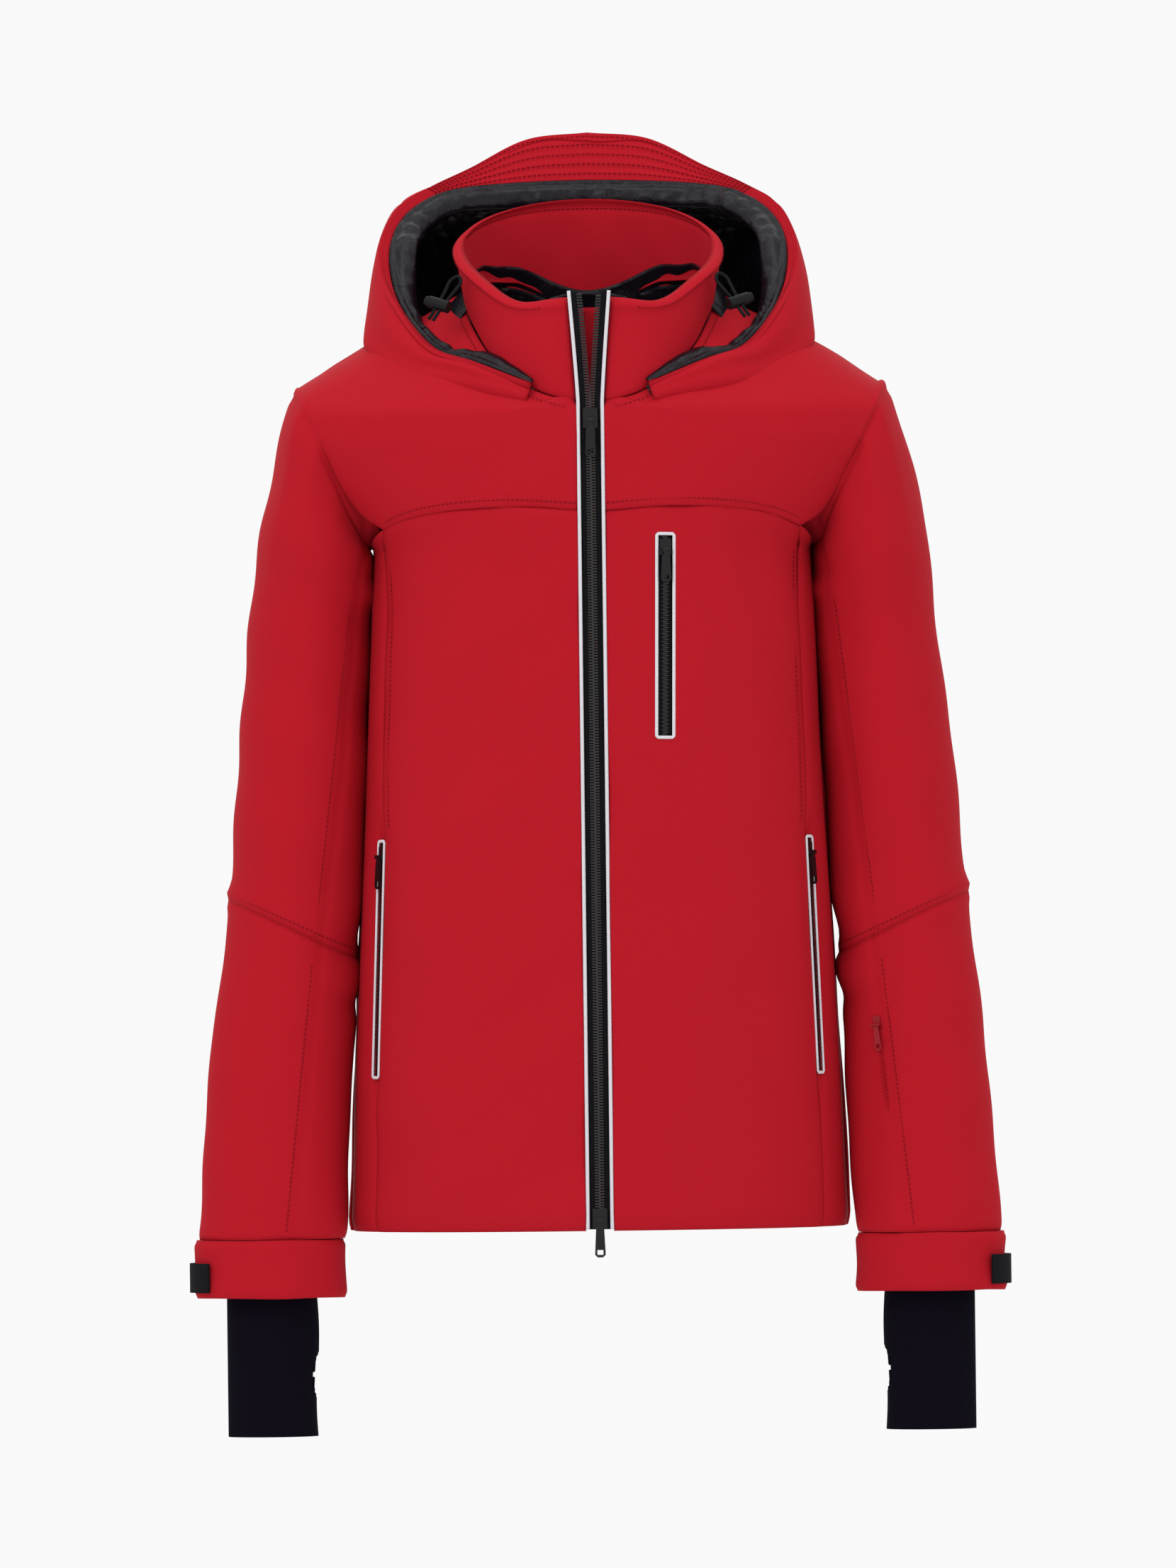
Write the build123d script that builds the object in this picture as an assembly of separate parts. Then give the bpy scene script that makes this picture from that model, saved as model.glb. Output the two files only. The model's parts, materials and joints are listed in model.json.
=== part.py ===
"""Hooded softshell ski jacket, hanging by its neck loop. Millimetres, +Z up, the front faces -Y, +X is the wearer's left.
The origin is the top of the hanger loop inside the back neck."""

from build123d import *
import math
import os

# ---- driving dimensions ----
SHELL = 2.5  # softshell fabric
GAP = 3.2  # room between shell and lining, where the zip tape lies
LINING = 1.5
HEM_Z = -705.0
ZIP_BASE_Y = -198.0  # centre front at the neck seam
ZIP_BASE_Z = -90.0
ZIP_LEAN = 0.03  # the centre front leans forward by this much per mm going down
ZIP_TOP = 86.0  # top of the main zip above the neck seam
ZIP_LENGTH = 700.0
ZIP_HALF = 10.5  # half the gap between the two front edges
SIDE_SEAM_Y = -78.0  # plane of the shoulder and side seams
POWER = 2.3  # squareness of the body's cross-section

# Body stations: height, half width, front, back.
TORSO = [
    (HEM_Z, 188, -216, 44),
    (-590, 182, -213, 38),
    (-450, 173, -209, 28),
    (-330, 168, -205, 30),
    (-235, 165.5, -202, 36),
    (-195, 165, -201, 38),
    (-150, 208, -200, 38),
    (-115, 236, -199, 34),
    (-90, 236, -198, 30),
    (-72, 221, -180, 25),
    (-52, 190, -162, 19),
    (-34, 160, -147, 13),
    (-14, 118, -130, 6),
    (6, 84, -116, -4),
]

# The armhole is a slanted plane from the shoulder point to the underarm.
SHOULDER = (224.0, -75.0)
UNDERARM = (164.0, -192.0)
ARM_Y = -80.0

# Sleeve stations: height, inner x, outer x, middle y, half depth.
SLEEVE = [
    (-250, 170, 257, -80, 60),
    (-350, 174, 267, -84, 56),
    (-465, 181, 278, -90, 51),
    (-600, 188, 294, -103, 45),
    (-711, 191.5, 302, -118, 39),
]
CUFF_TOP = -711.5
CUFF_BOTTOM = -754.0
CUFF_FOOT = (CUFF_BOTTOM, 191, 305, -124, 38)
ELBOW_OUT = (278.0, -456.0)
ELBOW_IN = (206.0, -488.0)

COLLAR_Y = -95.0
COLLAR_BASE = (94.0, 100.0, -46.0)  # half width, half depth, height of the middle
COLLAR_HEAD = (100.0, 97.0, 31.0)
COLLAR_TILT = 22.0
COLLAR_PLY = 2.5

HOOD_MIDDLE = (0.0, -35.0, -15.0)
HOOD_HALF = (168.0, 165.0, 100.0)
HOOD_PLY = 3.0
HOOD_BAND = 60.0  # degrees, where the middle panel starts
HOOD_START = -54.0  # degrees, the front end of the hood beside the collar
RIM_FRONT = (-178.0, -55.0)
RIM_BACK = (0.0, 84.0)

GAITER_X = 246.0
GAITER_Y = -121.0
GAITER_END = -858.0
LOOP_FORWARD = 7.6  # the hanger loop stands this far in front of the form's zero
WELT = 2.0  # width of the light piping round a pocket zip


# ---- helpers ----
def between(table, z, column):
    """A value of a station table at height z, straight between stations."""
    rows = sorted(table)
    for low, high in zip(rows, rows[1:]):
        if low[0] <= z <= high[0]:
            share = (z - low[0]) / (high[0] - low[0])
            return low[column] + share * (high[column] - low[column])
    raise ValueError(f"{z} is outside the table")


def body_half_depth(z):
    return (between(TORSO, z, 3) - between(TORSO, z, 2)) / 2


def body_middle(z):
    return (between(TORSO, z, 3) + between(TORSO, z, 2)) / 2


def on_front(x, z):
    """The y of the body's front at (x, z)."""
    share = min(1.0, (abs(x) / between(TORSO, z, 1)) ** POWER)
    return body_middle(z) - body_half_depth(z) * (1 - share) ** (1 / POWER)


def on_back(x, z):
    share = min(1.0, (abs(x) / between(TORSO, z, 1)) ** POWER)
    return body_middle(z) + body_half_depth(z) * (1 - share) ** (1 / POWER)


def body_normal(p):
    """The outward unit normal of the body's form near a point on it."""

    def form(x, y, z):
        z = min(max(z, HEM_Z + 0.01), 5.99)
        return (abs(x) / between(TORSO, z, 1)) ** POWER + (
            abs(y - body_middle(z)) / body_half_depth(z)
        ) ** POWER

    x, y, z = p
    d = 1.5
    out = Vector(
        form(x + d, y, z) - form(x - d, y, z),
        form(x, y + d, z) - form(x, y - d, z),
        form(x, y, z + d) - form(x, y, z - d) if z < 0 else form(x, y, z) - form(x, y, z - d),
    )
    return out.normalized()


def triangle(a, b, c):
    return Face(Wire.make_polygon([a, b, c], close=True))


def fabric(grid, normals, low, high, closed=False):
    """A flexible sheet as a solid: between the depths low and high under a grid of points, rows of equal length."""
    rows, columns = len(grid), len(grid[0])
    layers = [
        [[p - n * depth for p, n in zip(row, ns)] for row, ns in zip(grid, normals)] for depth in (low, high)
    ]
    faces = []

    def quad(a, b, c, d):
        faces.extend((triangle(a, b, c), triangle(a, c, d)))

    wrap = columns if closed else columns - 1
    for layer in layers:
        for i in range(rows - 1):
            for j in range(wrap):
                k = (j + 1) % columns
                quad(layer[i][j], layer[i][k], layer[i + 1][k], layer[i + 1][j])
    top, under = layers
    for i in (0, rows - 1):
        for j in range(wrap):
            k = (j + 1) % columns
            quad(top[i][j], top[i][k], under[i][k], under[i][j])
    if not closed:
        for j in (0, columns - 1):
            for i in range(rows - 1):
                quad(top[i][j], top[i + 1][j], under[i + 1][j], under[i][j])
    solid = Solid(Shell(faces))
    return solid


def grid_normals(grid, centre, closed=False):
    """Unit normals of a grid of points, away from a centre."""
    rows, columns = len(grid), len(grid[0])
    normals = []
    total = 0.0
    for i in range(rows):
        line = []
        for j in range(columns):
            after = (j + 1) % columns if closed else min(j + 1, columns - 1)
            before = (j - 1) % columns if closed else max(j - 1, 0)
            along_row = grid[i][after] - grid[i][before]
            along_column = grid[min(i + 1, rows - 1)][j] - grid[max(i - 1, 0)][j]
            line.append(along_row.cross(along_column).normalized())
            total += line[-1].dot(grid[i][j] - centre)
        normals.append(line)
    if total < 0:
        normals = [[n * -1 for n in line] for line in normals]
    return normals


def on_body(grid):
    return [[body_normal(tuple(p)) for p in row] for row in grid]


def coons(bottom, top, left, right):
    """Points between four border curves, each a list of (x, z); bottom and top run left to right."""
    rows, columns = len(left), len(bottom)
    grid = []
    for i in range(rows):
        v = i / (rows - 1)
        row = []
        for j in range(columns):
            u = j / (columns - 1)
            point = []
            for k in (0, 1):
                straight = (1 - v) * bottom[j][k] + v * top[j][k] + (1 - u) * left[i][k] + u * right[i][k]
                corners = (1 - u) * (1 - v) * bottom[0][k] + u * (1 - v) * bottom[-1][k]
                corners += (1 - u) * v * top[0][k] + u * v * top[-1][k]
                point.append(straight - corners)
            row.append(tuple(point))
        grid.append(row)
    return grid


def along_line(points, count):
    """Evenly spaced points along a polyline of (x, z)."""
    lengths = [math.dist(a, b) for a, b in zip(points, points[1:])]
    total = sum(lengths)
    found = []
    for i in range(count):
        rest = total * i / (count - 1)
        for (a, b), length in zip(zip(points, points[1:]), lengths):
            if rest <= length + 1e-9:
                share = rest / length
                found.append(tuple(a[k] + share * (b[k] - a[k]) for k in (0, 1)))
                break
            rest -= length
    return found


def front_plane(x_top, z_top, x_low, z_low):
    """A plane on the body's front: its origin at the upper point, its Y up the line between the points, its Z outward."""
    top = Vector(x_top, on_front(x_top, z_top), z_top)
    low = Vector(x_low, on_front(x_low, z_low), z_low)
    z, x = (z_top + z_low) / 2, (x_top + x_low) / 2
    across = Vector(2, on_front(x + 1, z) - on_front(x - 1, z), 0).normalized()
    up = (top - low).normalized()
    out = across.cross(up).normalized()
    return Plane(origin=top, x_dir=up.cross(out), z_dir=out), (top - low).length


def prism(points, y_from, y_to):
    """A prism whose outline is given in (x, z), from y_from to y_to."""
    face = Plane.XZ * make_face(Polyline(*points, close=True))
    return extrude(Pos(0, y_to, 0) * face, y_to - y_from)


def block(plane, x0, x1, y0, y1, z0, z1):
    """A box in a plane's own coordinates."""
    size = (abs(x1 - x0), abs(y1 - y0), abs(z1 - z0))
    middle = ((x0 + x1) / 2, (y0 + y1) / 2, (z0 + z1) / 2)
    return plane * (Pos(*middle) * Box(*size))


def solids_of(shape):
    return [s for s in shape.solids() if s.volume > 1.0]


def largest(shape):
    return max(shape.solids(), key=lambda s: s.volume)


def mirror_x(shape):
    return mirror(shape, Plane.YZ)


NODES = {}


def keep(name, *shapes):
    """Stores a node, made of one or more solids, with the loop's top at the origin."""
    found = [Pos(0, LOOP_FORWARD, 0) * s for shape in shapes for s in solids_of(shape)]
    NODES[name] = Compound(children=found) if len(found) > 1 else found[0]


# ---- body panels ----
front = Plane(origin=(0, ZIP_BASE_Y, ZIP_BASE_Z), x_dir=(1, 0, 0), z_dir=(0, -1, ZIP_LEAN))
armhole_run = Vector(UNDERARM[0] - SHOULDER[0], 0, UNDERARM[1] - SHOULDER[1]).normalized()
armhole_out = Vector(-armhole_run.Z, 0, armhole_run.X)

YOKE = [(ZIP_HALF, -168), (60, -165), (105, -167), (138, -173), (157, -181)]
PRINCESS = [(157, -181), (155, -240), (159, -340), (160, -412), (166.5, -590), (169, HEM_Z)]
SIDE_TOP = -195.0
ROWS = 9


def armhole_x(z):
    share = (SHOULDER[1] - z) / (SHOULDER[1] - UNDERARM[1])
    return SHOULDER[0] + share * (UNDERARM[0] - SHOULDER[0])


def side_x(z):
    return between(TORSO, z, 1)


def neck_point(turn):
    """Where the collar's seam runs on the body, at a turn in degrees from the wearer's left; -90 is the front."""
    c, s = math.cos(math.radians(turn)), math.sin(math.radians(turn))
    x, y = COLLAR_BASE[0] * c, COLLAR_Y + COLLAR_BASE[1] * s
    low, high = -100.0, 6.0
    for _ in range(40):
        z = (low + high) / 2
        form = (abs(x) / between(TORSO, z, 1)) ** POWER + (abs(y - body_middle(z)) / body_half_depth(z)) ** POWER
        low, high = (z, high) if form < 1 else (low, z)
    return x, y, (low + high) / 2


def neck_side():
    """The turn at which the neck seam crosses the shoulder seam."""
    low, high = 0.0, 45.0
    for _ in range(40):
        turn = (low + high) / 2
        x, y, z = neck_point(turn)
        low, high = (turn, high) if y < body_middle(z) else (low, turn)
    return (low + high) / 2


NECK_SIDE = neck_side()
neck_side_x, _, neck_side_z = neck_point(NECK_SIDE)
shoulder_z = SHOULDER[1]


def shoulder_line(count):
    """(x, z) along the shoulder seam from the neck to the shoulder point."""
    found = []
    for i in range(count):
        z = neck_side_z + (shoulder_z - neck_side_z) * i / (count - 1)
        found.append((side_x(z), z))
    return found


def raised(grid, face):
    return [[Vector(x, face(x, z), z) for x, z in row] for row in grid]


COLUMNS = 9
neck_front = [neck_point(-83.0 + (NECK_SIDE + 83.0) * i / (ROWS - 3)) for i in range(ROWS - 2)]
yoke_left = [(ZIP_HALF, -168), (ZIP_HALF, -130)] + [(x, z) for x, _, z in neck_front]
yoke_bottom = along_line(YOKE, COLUMNS)
yoke_right = along_line([(157, -181), (armhole_x(-160), -160), (armhole_x(-120), -120), (side_x(shoulder_z), shoulder_z)], ROWS)
yoke_grid = raised(coons(yoke_bottom, shoulder_line(COLUMNS), yoke_left, yoke_right), on_front)

low_rows = [0.0, 0.12, 0.3, 0.5, 0.7, 1.0]
middle_grid, side_grid = [], []
for share in low_rows:
    row = []
    foot_x, foot_z = PRINCESS[-1]
    for x, z in yoke_bottom:
        at = z + share * (HEM_Z - z)
        far = between([(b, a) for a, b in PRINCESS], min(at, PRINCESS[0][1]), 1)
        across = (x - ZIP_HALF) / (157 - ZIP_HALF)
        row.append((ZIP_HALF + across * (far - ZIP_HALF), at))
    middle_grid.append(row)
    princess_z = row[-1][1]
    side_z = SIDE_TOP + share * (HEM_Z - SIDE_TOP)
    line = []
    for j in range(4):
        at = princess_z + (side_z - princess_z) * j / 3
        line.append((row[-1][0] + (side_x(at) - row[-1][0]) * j / 3, at))
    side_grid.append(line)
middle_grid = raised(middle_grid, on_front)
side_grid = raised(side_grid, on_front)

half_count = 12
back_low = []
for share in low_rows[::-1]:
    z = SIDE_TOP + share * (HEM_Z - SIDE_TOP)
    row = []
    for j in range(2 * half_count + 1):
        t = math.pi * j / (2 * half_count)
        c, s = math.cos(t), math.sin(t)
        r = (abs(c) ** POWER + abs(s) ** POWER) ** (-1 / POWER)
        row.append((side_x(z) * r * c, z))
    back_low.append(row)
back_right = along_line([(side_x(SIDE_TOP), SIDE_TOP), (armhole_x(-170), -170), (armhole_x(-120), -120), (side_x(shoulder_z), shoulder_z)], 6)
half_top = shoulder_line(COLUMNS)[::-1]
neck_back = [neck_point(NECK_SIDE + (180 - 2 * NECK_SIDE) * i / 8) for i in range(9)]
top_line = half_top + [(x, z) for x, _, z in neck_back[1:-1]] + [(-x, z) for x, z in half_top[::-1]]
back_high = coons(back_low[-1], top_line, back_right, [(-x, z) for x, z in back_right])
back_grid = raised(back_low + back_high[1:], on_back)

CHEST = front_plane(55, -186, 53, -338)
HAND = front_plane(160, -413, 166.5, -590)
chest_cut = block(CHEST[0], -7.6, 7.6, -CHEST[1] - 0.2, 0.2, -12, 12)
hand_cut = block(HAND[0], -5.6, 5.6, -HAND[1] - 0.2, 0.2, -9, 9)
lining_depth = SHELL + GAP
lining = []
for name, grid, cut in (
    ("front_yoke", yoke_grid, None),
    ("front_panel", middle_grid, hand_cut),
    ("side_panel", side_grid, hand_cut),
):
    normals = on_body(grid)
    sheet = fabric(grid, normals, 0, SHELL)
    right = mirror_x(largest(sheet - cut)) if cut else mirror_x(sheet)
    if name == "front_panel":
        sheet = sheet - chest_cut
    keep(name + "_left", largest(sheet - cut) if cut else sheet)
    keep(name + "_right", right)
    under = fabric(grid, normals, lining_depth, lining_depth + LINING)
    lining += [under, mirror_x(under)]
back_normals = on_body(back_grid)
keep("back_panel", fabric(back_grid, back_normals, 0, SHELL))
lining.append(fabric(back_grid, back_normals, lining_depth, lining_depth + LINING))
keep("body_lining", *lining)

# ---- collar: two plies, turned over at the top edge ----
collar_grid = []
for i in range(6):
    v = i / 5
    half_x = COLLAR_BASE[0] + v * (COLLAR_HEAD[0] - COLLAR_BASE[0])
    half_y = COLLAR_BASE[1] + v * (COLLAR_HEAD[1] - COLLAR_BASE[1])
    start = -math.degrees(math.acos((ZIP_HALF + 0.2 + 6.5 * v) / half_x))
    row = []
    for j in range(33):
        turn = start + (180 - 2 * start) * j / 32
        c, s = math.cos(math.radians(turn)), math.sin(math.radians(turn))
        seam = neck_point(turn)[2] + 1.5
        head = COLLAR_HEAD[2] + half_y * s * math.tan(math.radians(COLLAR_TILT))
        row.append(Vector(half_x * c, COLLAR_Y + half_y * s, seam + v * (head - seam)))
    collar_grid.append(row)
collar_normals = grid_normals(collar_grid, Vector(0, COLLAR_Y, 0))
keep("collar_outer", fabric(collar_grid, collar_normals, 0, COLLAR_PLY))
keep("collar_inner", fabric(collar_grid, collar_normals, COLLAR_PLY + 0.1, 2 * COLLAR_PLY))

# ---- main zip, in the front plane: x across, y up the zip, z outward ----
ZIP_FOOT = ZIP_TOP - ZIP_LENGTH
SPLIT = 3.0  # the chains part above this height
FLARE = 6.0  # how far each chain stands off at the top


def strip(x0, x1, z0, z1, foot=ZIP_FOOT, top=ZIP_TOP):
    """A long strip beside the centre line that flares outward above the slider."""
    outline = [
        (x0, foot),
        (x1, foot),
        (x1, SPLIT),
        (x1 + FLARE, top),
        (x0 + FLARE, top),
        (x0, SPLIT),
    ]
    face = make_face(Polyline(*outline, close=True))
    return front * (Pos(0, 0, z0) * extrude(face, z1 - z0))


teeth = strip(0.6, 3.3, -4.6, -1.6)
tape = strip(3.35, 10.0, -3.9, -2.9)
piping = strip(7.8, 10.3, -2.85, 1.2)
keep("main_zip_teeth_left", teeth)
keep("main_zip_teeth_right", mirror_x(teeth))
keep("main_zip_tapes", tape, mirror_x(tape))
keep("front_piping", piping, mirror_x(piping))
keep("storm_flap", block(front, -14, 18, ZIP_FOOT + 6, ZIP_TOP - 14, -16.0, -13.5))

PIN_R = 0.8


def slider_and_pull(plane, at, half=5.5, length=15.0, pull=27.0, pull_half=4.0, flip=False, depth=6.6):
    """A zip slider at height `at` on a plane, with its pull hanging from the pin of its bail."""
    here = plane * Pos(0, at, 0)
    here = Plane(here) if isinstance(here, Location) else here
    way = -1 if flip else 1
    pin_y = -2.0
    body = block(here, -half, half, -length / 2, length / 2, -1.4, 0.6)
    body += block(here, -half, half, -length / 2, length / 2, -depth, -depth + 1.5)
    nose = (0, length / 2) if way > 0 else (-length / 2, 0)
    body += block(here, -0.4, 0.4, *nose, -depth + 1, -1)
    for side_x in (-1, 1):
        ear = sorted((side_x * 2.3, side_x * 3.3))
        body += block(here, *ear, pin_y - 1.4, pin_y + 1.4, 0.5, 4.0)
    pin_place = here * (Pos(0, pin_y, 2.6) * Rot(0, 90, 0))
    body += pin_place * Cylinder(PIN_R, 5.2)
    tab = pin_place * Cylinder(1.7, 4.2)
    tab += block(here, -1.9, 1.9, pin_y - 5, pin_y - 1, 1.9, 3.3)
    blade = make_face(
        Polyline(
            (-pull_half * 0.75, pin_y - 4),
            (pull_half * 0.75, pin_y - 4),
            (pull_half, pin_y - pull + 2),
            (pull_half - 2, pin_y - pull),
            (-pull_half + 2, pin_y - pull),
            (-pull_half, pin_y - pull + 2),
            close=True,
        )
    )
    tab += here * (Pos(0, 0, 1.9) * extrude(blade, 1.4))
    tab -= pin_place * Cylinder(PIN_R + 0.06, 8)
    tab -= block(here, -pull_half * 0.55, pull_half * 0.55, pin_y - pull + 2, pin_y - pull + 5.5, 0, 6)
    pivot = (here * Pos(0, pin_y, 2.6)).position
    return largest(body), largest(tab), pivot


PIVOTS = {}


def add_slider(name, *args, mirrored=False, **kwargs):
    body, tab, pivot = slider_and_pull(*args, **kwargs)
    if mirrored:
        body, tab = mirror_x(body), mirror_x(tab)
        pivot = Vector(-pivot.X, pivot.Y, pivot.Z)
    keep(name + "_slider", body)
    keep(name + "_pull", tab)
    PIVOTS[name] = pivot


add_slider("main_top", front, -9.0)
add_slider("main_bottom", front, ZIP_FOOT + 8, flip=True)

def zip_halves(plane, length, half):
    """The two tapes of a pocket zip, with their coils, a little apart for the slider's web."""
    ends = (-length + WELT + 0.1, -WELT - 0.1)
    return [block(plane, *sorted((way * 0.6, way * half)), *ends, -2.4, -1.5) for way in (-1, 1)]


# ---- chest pocket ----
plane, length = CHEST
frame = block(plane, -7.4, 7.4, -length, 0, -2.4, 1.0)
frame -= block(plane, -7.4 + WELT, 7.4 - WELT, -length + WELT, -WELT, -9, 9)
keep("chest_pocket_piping", frame)
keep("chest_pocket_zip", *zip_halves(plane, length, 5.3))
add_slider("chest", plane, -10.0, half=4.4, length=12, pull=24, depth=4.2)

# ---- hand pockets ----
plane, length = HAND
frame = block(plane, -5.4, 5.4, -length, 0, -2.4, 0.8)
frame -= block(plane, -5.4 + WELT, 5.4 - WELT, -length + WELT, -WELT, -9, 9)
keep("hand_pocket_piping", frame, mirror_x(frame))
hand_zips = zip_halves(plane, length, 3.3)
keep("hand_pocket_zips", *hand_zips, *[mirror_x(half) for half in hand_zips])
for hand, mirrored in (("left", False), ("right", True)):
    add_slider(
        "hand_" + hand, plane, -10.0, half=3.2, length=12, pull=24, pull_half=3.4, depth=4.2, mirrored=mirrored
    )

# ---- pocket bags, inside the lining ----
bag_depth = lining_depth + LINING + 1.5


def bag(x0, x1, z0, z1):
    grid = raised([[(x0 + (x1 - x0) * j / 4, z0 + (z1 - z0) * i / 4) for j in range(5)] for i in range(5)], on_front)
    return fabric(grid, on_body(grid), bag_depth, bag_depth + 2.0)


keep("chest_pocket_bag", bag(32, 115, -345, -190))
hand_bag = bag(40, 150, -620, -425)
keep("hand_pocket_bags", hand_bag, mirror_x(hand_bag))

# ---- hanger loop ----
loop_path = Wire(
    [Edge.make_three_point_arc(Vector(-30, 0.0, -6), Vector(0, 0, -1.5), Vector(30, 0.0, -6))]
)
loop_end = Plane(origin=loop_path @ 0, z_dir=loop_path % 0, x_dir=(0, 1, 0))
loop_strap = sweep(loop_end * Rectangle(1.4, 3.0), path=loop_path)
keep("hanger_loop", Pos(0, -LOOP_FORWARD, 0) * loop_strap)


# ---- sleeves ----
RING = 20


def level_ring(station):
    z, inner, outer_x, y, depth = station
    turns = [2 * math.pi * (j + 0.5) / RING for j in range(RING)]
    middle, half = (inner + outer_x) / 2, (outer_x - inner) / 2
    return [Vector(middle + half * math.cos(t), y + depth * math.sin(t), z) for t in turns]


def station_at(z):
    return (z, *[between(SLEEVE, z, column) for column in (1, 2, 3, 4)])


def elbow_ring(shift=0.0):
    """The slanted seam round the elbow, on the sleeve's form."""
    slope = (ELBOW_OUT[1] - ELBOW_IN[1]) / (ELBOW_OUT[0] - ELBOW_IN[0])
    ring = []
    for p, low in zip(level_ring(station_at(-470.0)), level_ring(station_at(-500.0))):
        z = ELBOW_OUT[1] + (p.X - ELBOW_OUT[0]) * slope + shift
        ring.append(p + (low - p) * ((z + 470.0) / -30.0))
    return ring


armhole_middle = Vector((SHOULDER[0] + UNDERARM[0]) / 2, ARM_Y, (SHOULDER[1] + UNDERARM[1]) / 2) + armhole_out * 5.0
armhole_half = math.dist(SHOULDER, UNDERARM) / 2
armhole_ring = []
for j in range(RING):
    t = 2 * math.pi * (j + 0.5) / RING
    armhole_ring.append(armhole_middle - armhole_run * (armhole_half * math.cos(t)) + Vector(0, 62 * math.sin(t), 0))
upper_grid = [armhole_ring, *[level_ring(station_at(z)) for z in (-250, -350)], elbow_ring()]
lower_grid = [elbow_ring(-0.4), *[level_ring(station_at(z)) for z in (-540, -620, -711)]]


def tube(grid, low, high):
    centre = sum((p for row in grid for p in row), Vector(0, 0, 0)) * (1 / sum(len(row) for row in grid))
    rings = []
    for row in grid:
        middle = sum(row, Vector(0, 0, 0)) * (1 / len(row))
        rings.append([(p - middle).normalized() for p in row])
    return fabric(grid, rings, low, high, closed=True)


cuff_stations = [(CUFF_TOP, 191.5, 303, -118.3, 39), CUFF_FOOT]
cuff_grid = [level_ring(station) for station in cuff_stations]
cuff = tube(cuff_grid, 0, 3.5)

gaiter_top = CUFF_TOP + 12
gaiter_plane = Plane(origin=(GAITER_X, GAITER_Y, gaiter_top), z_dir=(0, 0, -1), x_dir=(1, 0, 0))
gaiter = extrude(gaiter_plane * (Ellipse(35, 27) - Ellipse(33.2, 25.2)), gaiter_top - GAITER_END)
thumb = Pos(GAITER_X - 35, GAITER_Y, -812) * Rot(0, 90, 0) * extrude(SlotOverall(34, 20), 12, both=True)
gaiter -= thumb

TAB_LOW, TAB_HIGH = -750.0, -727.0
tab_grid = []
for z in (TAB_HIGH, TAB_LOW):
    share = (CUFF_TOP - z) / (CUFF_TOP - CUFF_BOTTOM)
    _, inner, outer_x, y, depth = [a + share * (b - a) for a, b in zip(*cuff_stations)]
    line = []
    for j in range(7):
        t = math.radians(-42 + 84 * j / 6)
        half = (outer_x - inner) / 2 + 3.4
        line.append(Vector((inner + outer_x) / 2 + half * math.cos(t), y + (depth + 3.4) * math.sin(t), z))
    tab_grid.append(line)
cuff_tab = fabric(tab_grid, grid_normals(tab_grid, Vector(247, -121, -739)), 0, 2.2)

sleeve_parts = {
    "upper_sleeve": tube(upper_grid, 0, SHELL),
    "lower_sleeve": tube(lower_grid, 0, SHELL),
    "upper_sleeve_lining": tube(upper_grid, SHELL + 1.5, SHELL + 2.7),
    "lower_sleeve_lining": tube(lower_grid, SHELL + 1.5, SHELL + 2.7),
    "cuff": cuff,
    "wrist_gaiter": gaiter,
    "cuff_tab": cuff_tab,
}

# ---- sleeve pocket on the left forearm ----
POCKET_TOP = Vector(208.5, 0, -546)
POCKET_LOW = Vector(219.5, 0, -656)


def on_sleeve(x, z):
    inner, outer_x = between(SLEEVE, z, 1), between(SLEEVE, z, 2)
    share = (x - (inner + outer_x) / 2) / ((outer_x - inner) / 2)
    return between(SLEEVE, z, 3) - between(SLEEVE, z, 4) * math.sqrt(1 - share**2)


top = Vector(POCKET_TOP.X, on_sleeve(POCKET_TOP.X, POCKET_TOP.Z), POCKET_TOP.Z)
low = Vector(POCKET_LOW.X, on_sleeve(POCKET_LOW.X, POCKET_LOW.Z), POCKET_LOW.Z)
mid_x, mid_z = (top.X + low.X) / 2, (top.Z + low.Z) / 2
across = Vector(2, on_sleeve(mid_x + 1, mid_z) - on_sleeve(mid_x - 1, mid_z), 0).normalized()
up = (top - low).normalized()
sleeve_out = across.cross(up).normalized()
POCKET = Plane(origin=top, x_dir=up.cross(sleeve_out), z_dir=sleeve_out)
pocket_length = (top - low).length
pocket_hole = block(POCKET, -3.2, 3.2, -pocket_length - 0.2, 0.2, -5, 9)
left_half = block(POCKET, 0.6, 3.0, -pocket_length, 0, -2.2, -1.5)
right_half = block(POCKET, -3.0, -0.6, -pocket_length, 0, -2.2, -1.5)

for name, solid in sleeve_parts.items():
    left = solid
    if name == "lower_sleeve":
        left = largest(solid - pocket_hole)
    keep(name + "_left", left)
    keep(name + "_right", mirror_x(solid))
keep("sleeve_pocket_zip", left_half, right_half)
add_slider("sleeve", POCKET, -7.0, half=2.9, length=9, pull=20, pull_half=2.6, depth=3.9)


# ---- hood, lying back round the collar ----
RISE = (RIM_BACK[1] - RIM_FRONT[1]) / (RIM_BACK[0] - RIM_FRONT[0])


def hood_point(turn, level):
    """A point of the hood's outer form: a squared egg, at a turn in degrees and a level from -1 to 1."""
    half_x, half_y, half_z = HOOD_HALF
    reach = (1 - abs(level) ** 3) ** (1 / 3)
    c, s = math.cos(math.radians(turn)), math.sin(math.radians(turn))
    return Vector(half_x * reach * c, HOOD_MIDDLE[1] + half_y * reach * s, HOOD_MIDDLE[2] + half_z * level)


def hood_edge(turn, test):
    """The level at which a test of the point turns true going up."""
    low, high = -0.999, 0.999
    for _ in range(40):
        level = (low + high) / 2
        low, high = (low, level) if test(hood_point(turn, level)) else (level, high)
    return (low + high) / 2


def above_rim(p):
    return p.Z > RIM_BACK[1] + RISE * (p.Y - RIM_BACK[0])


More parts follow.
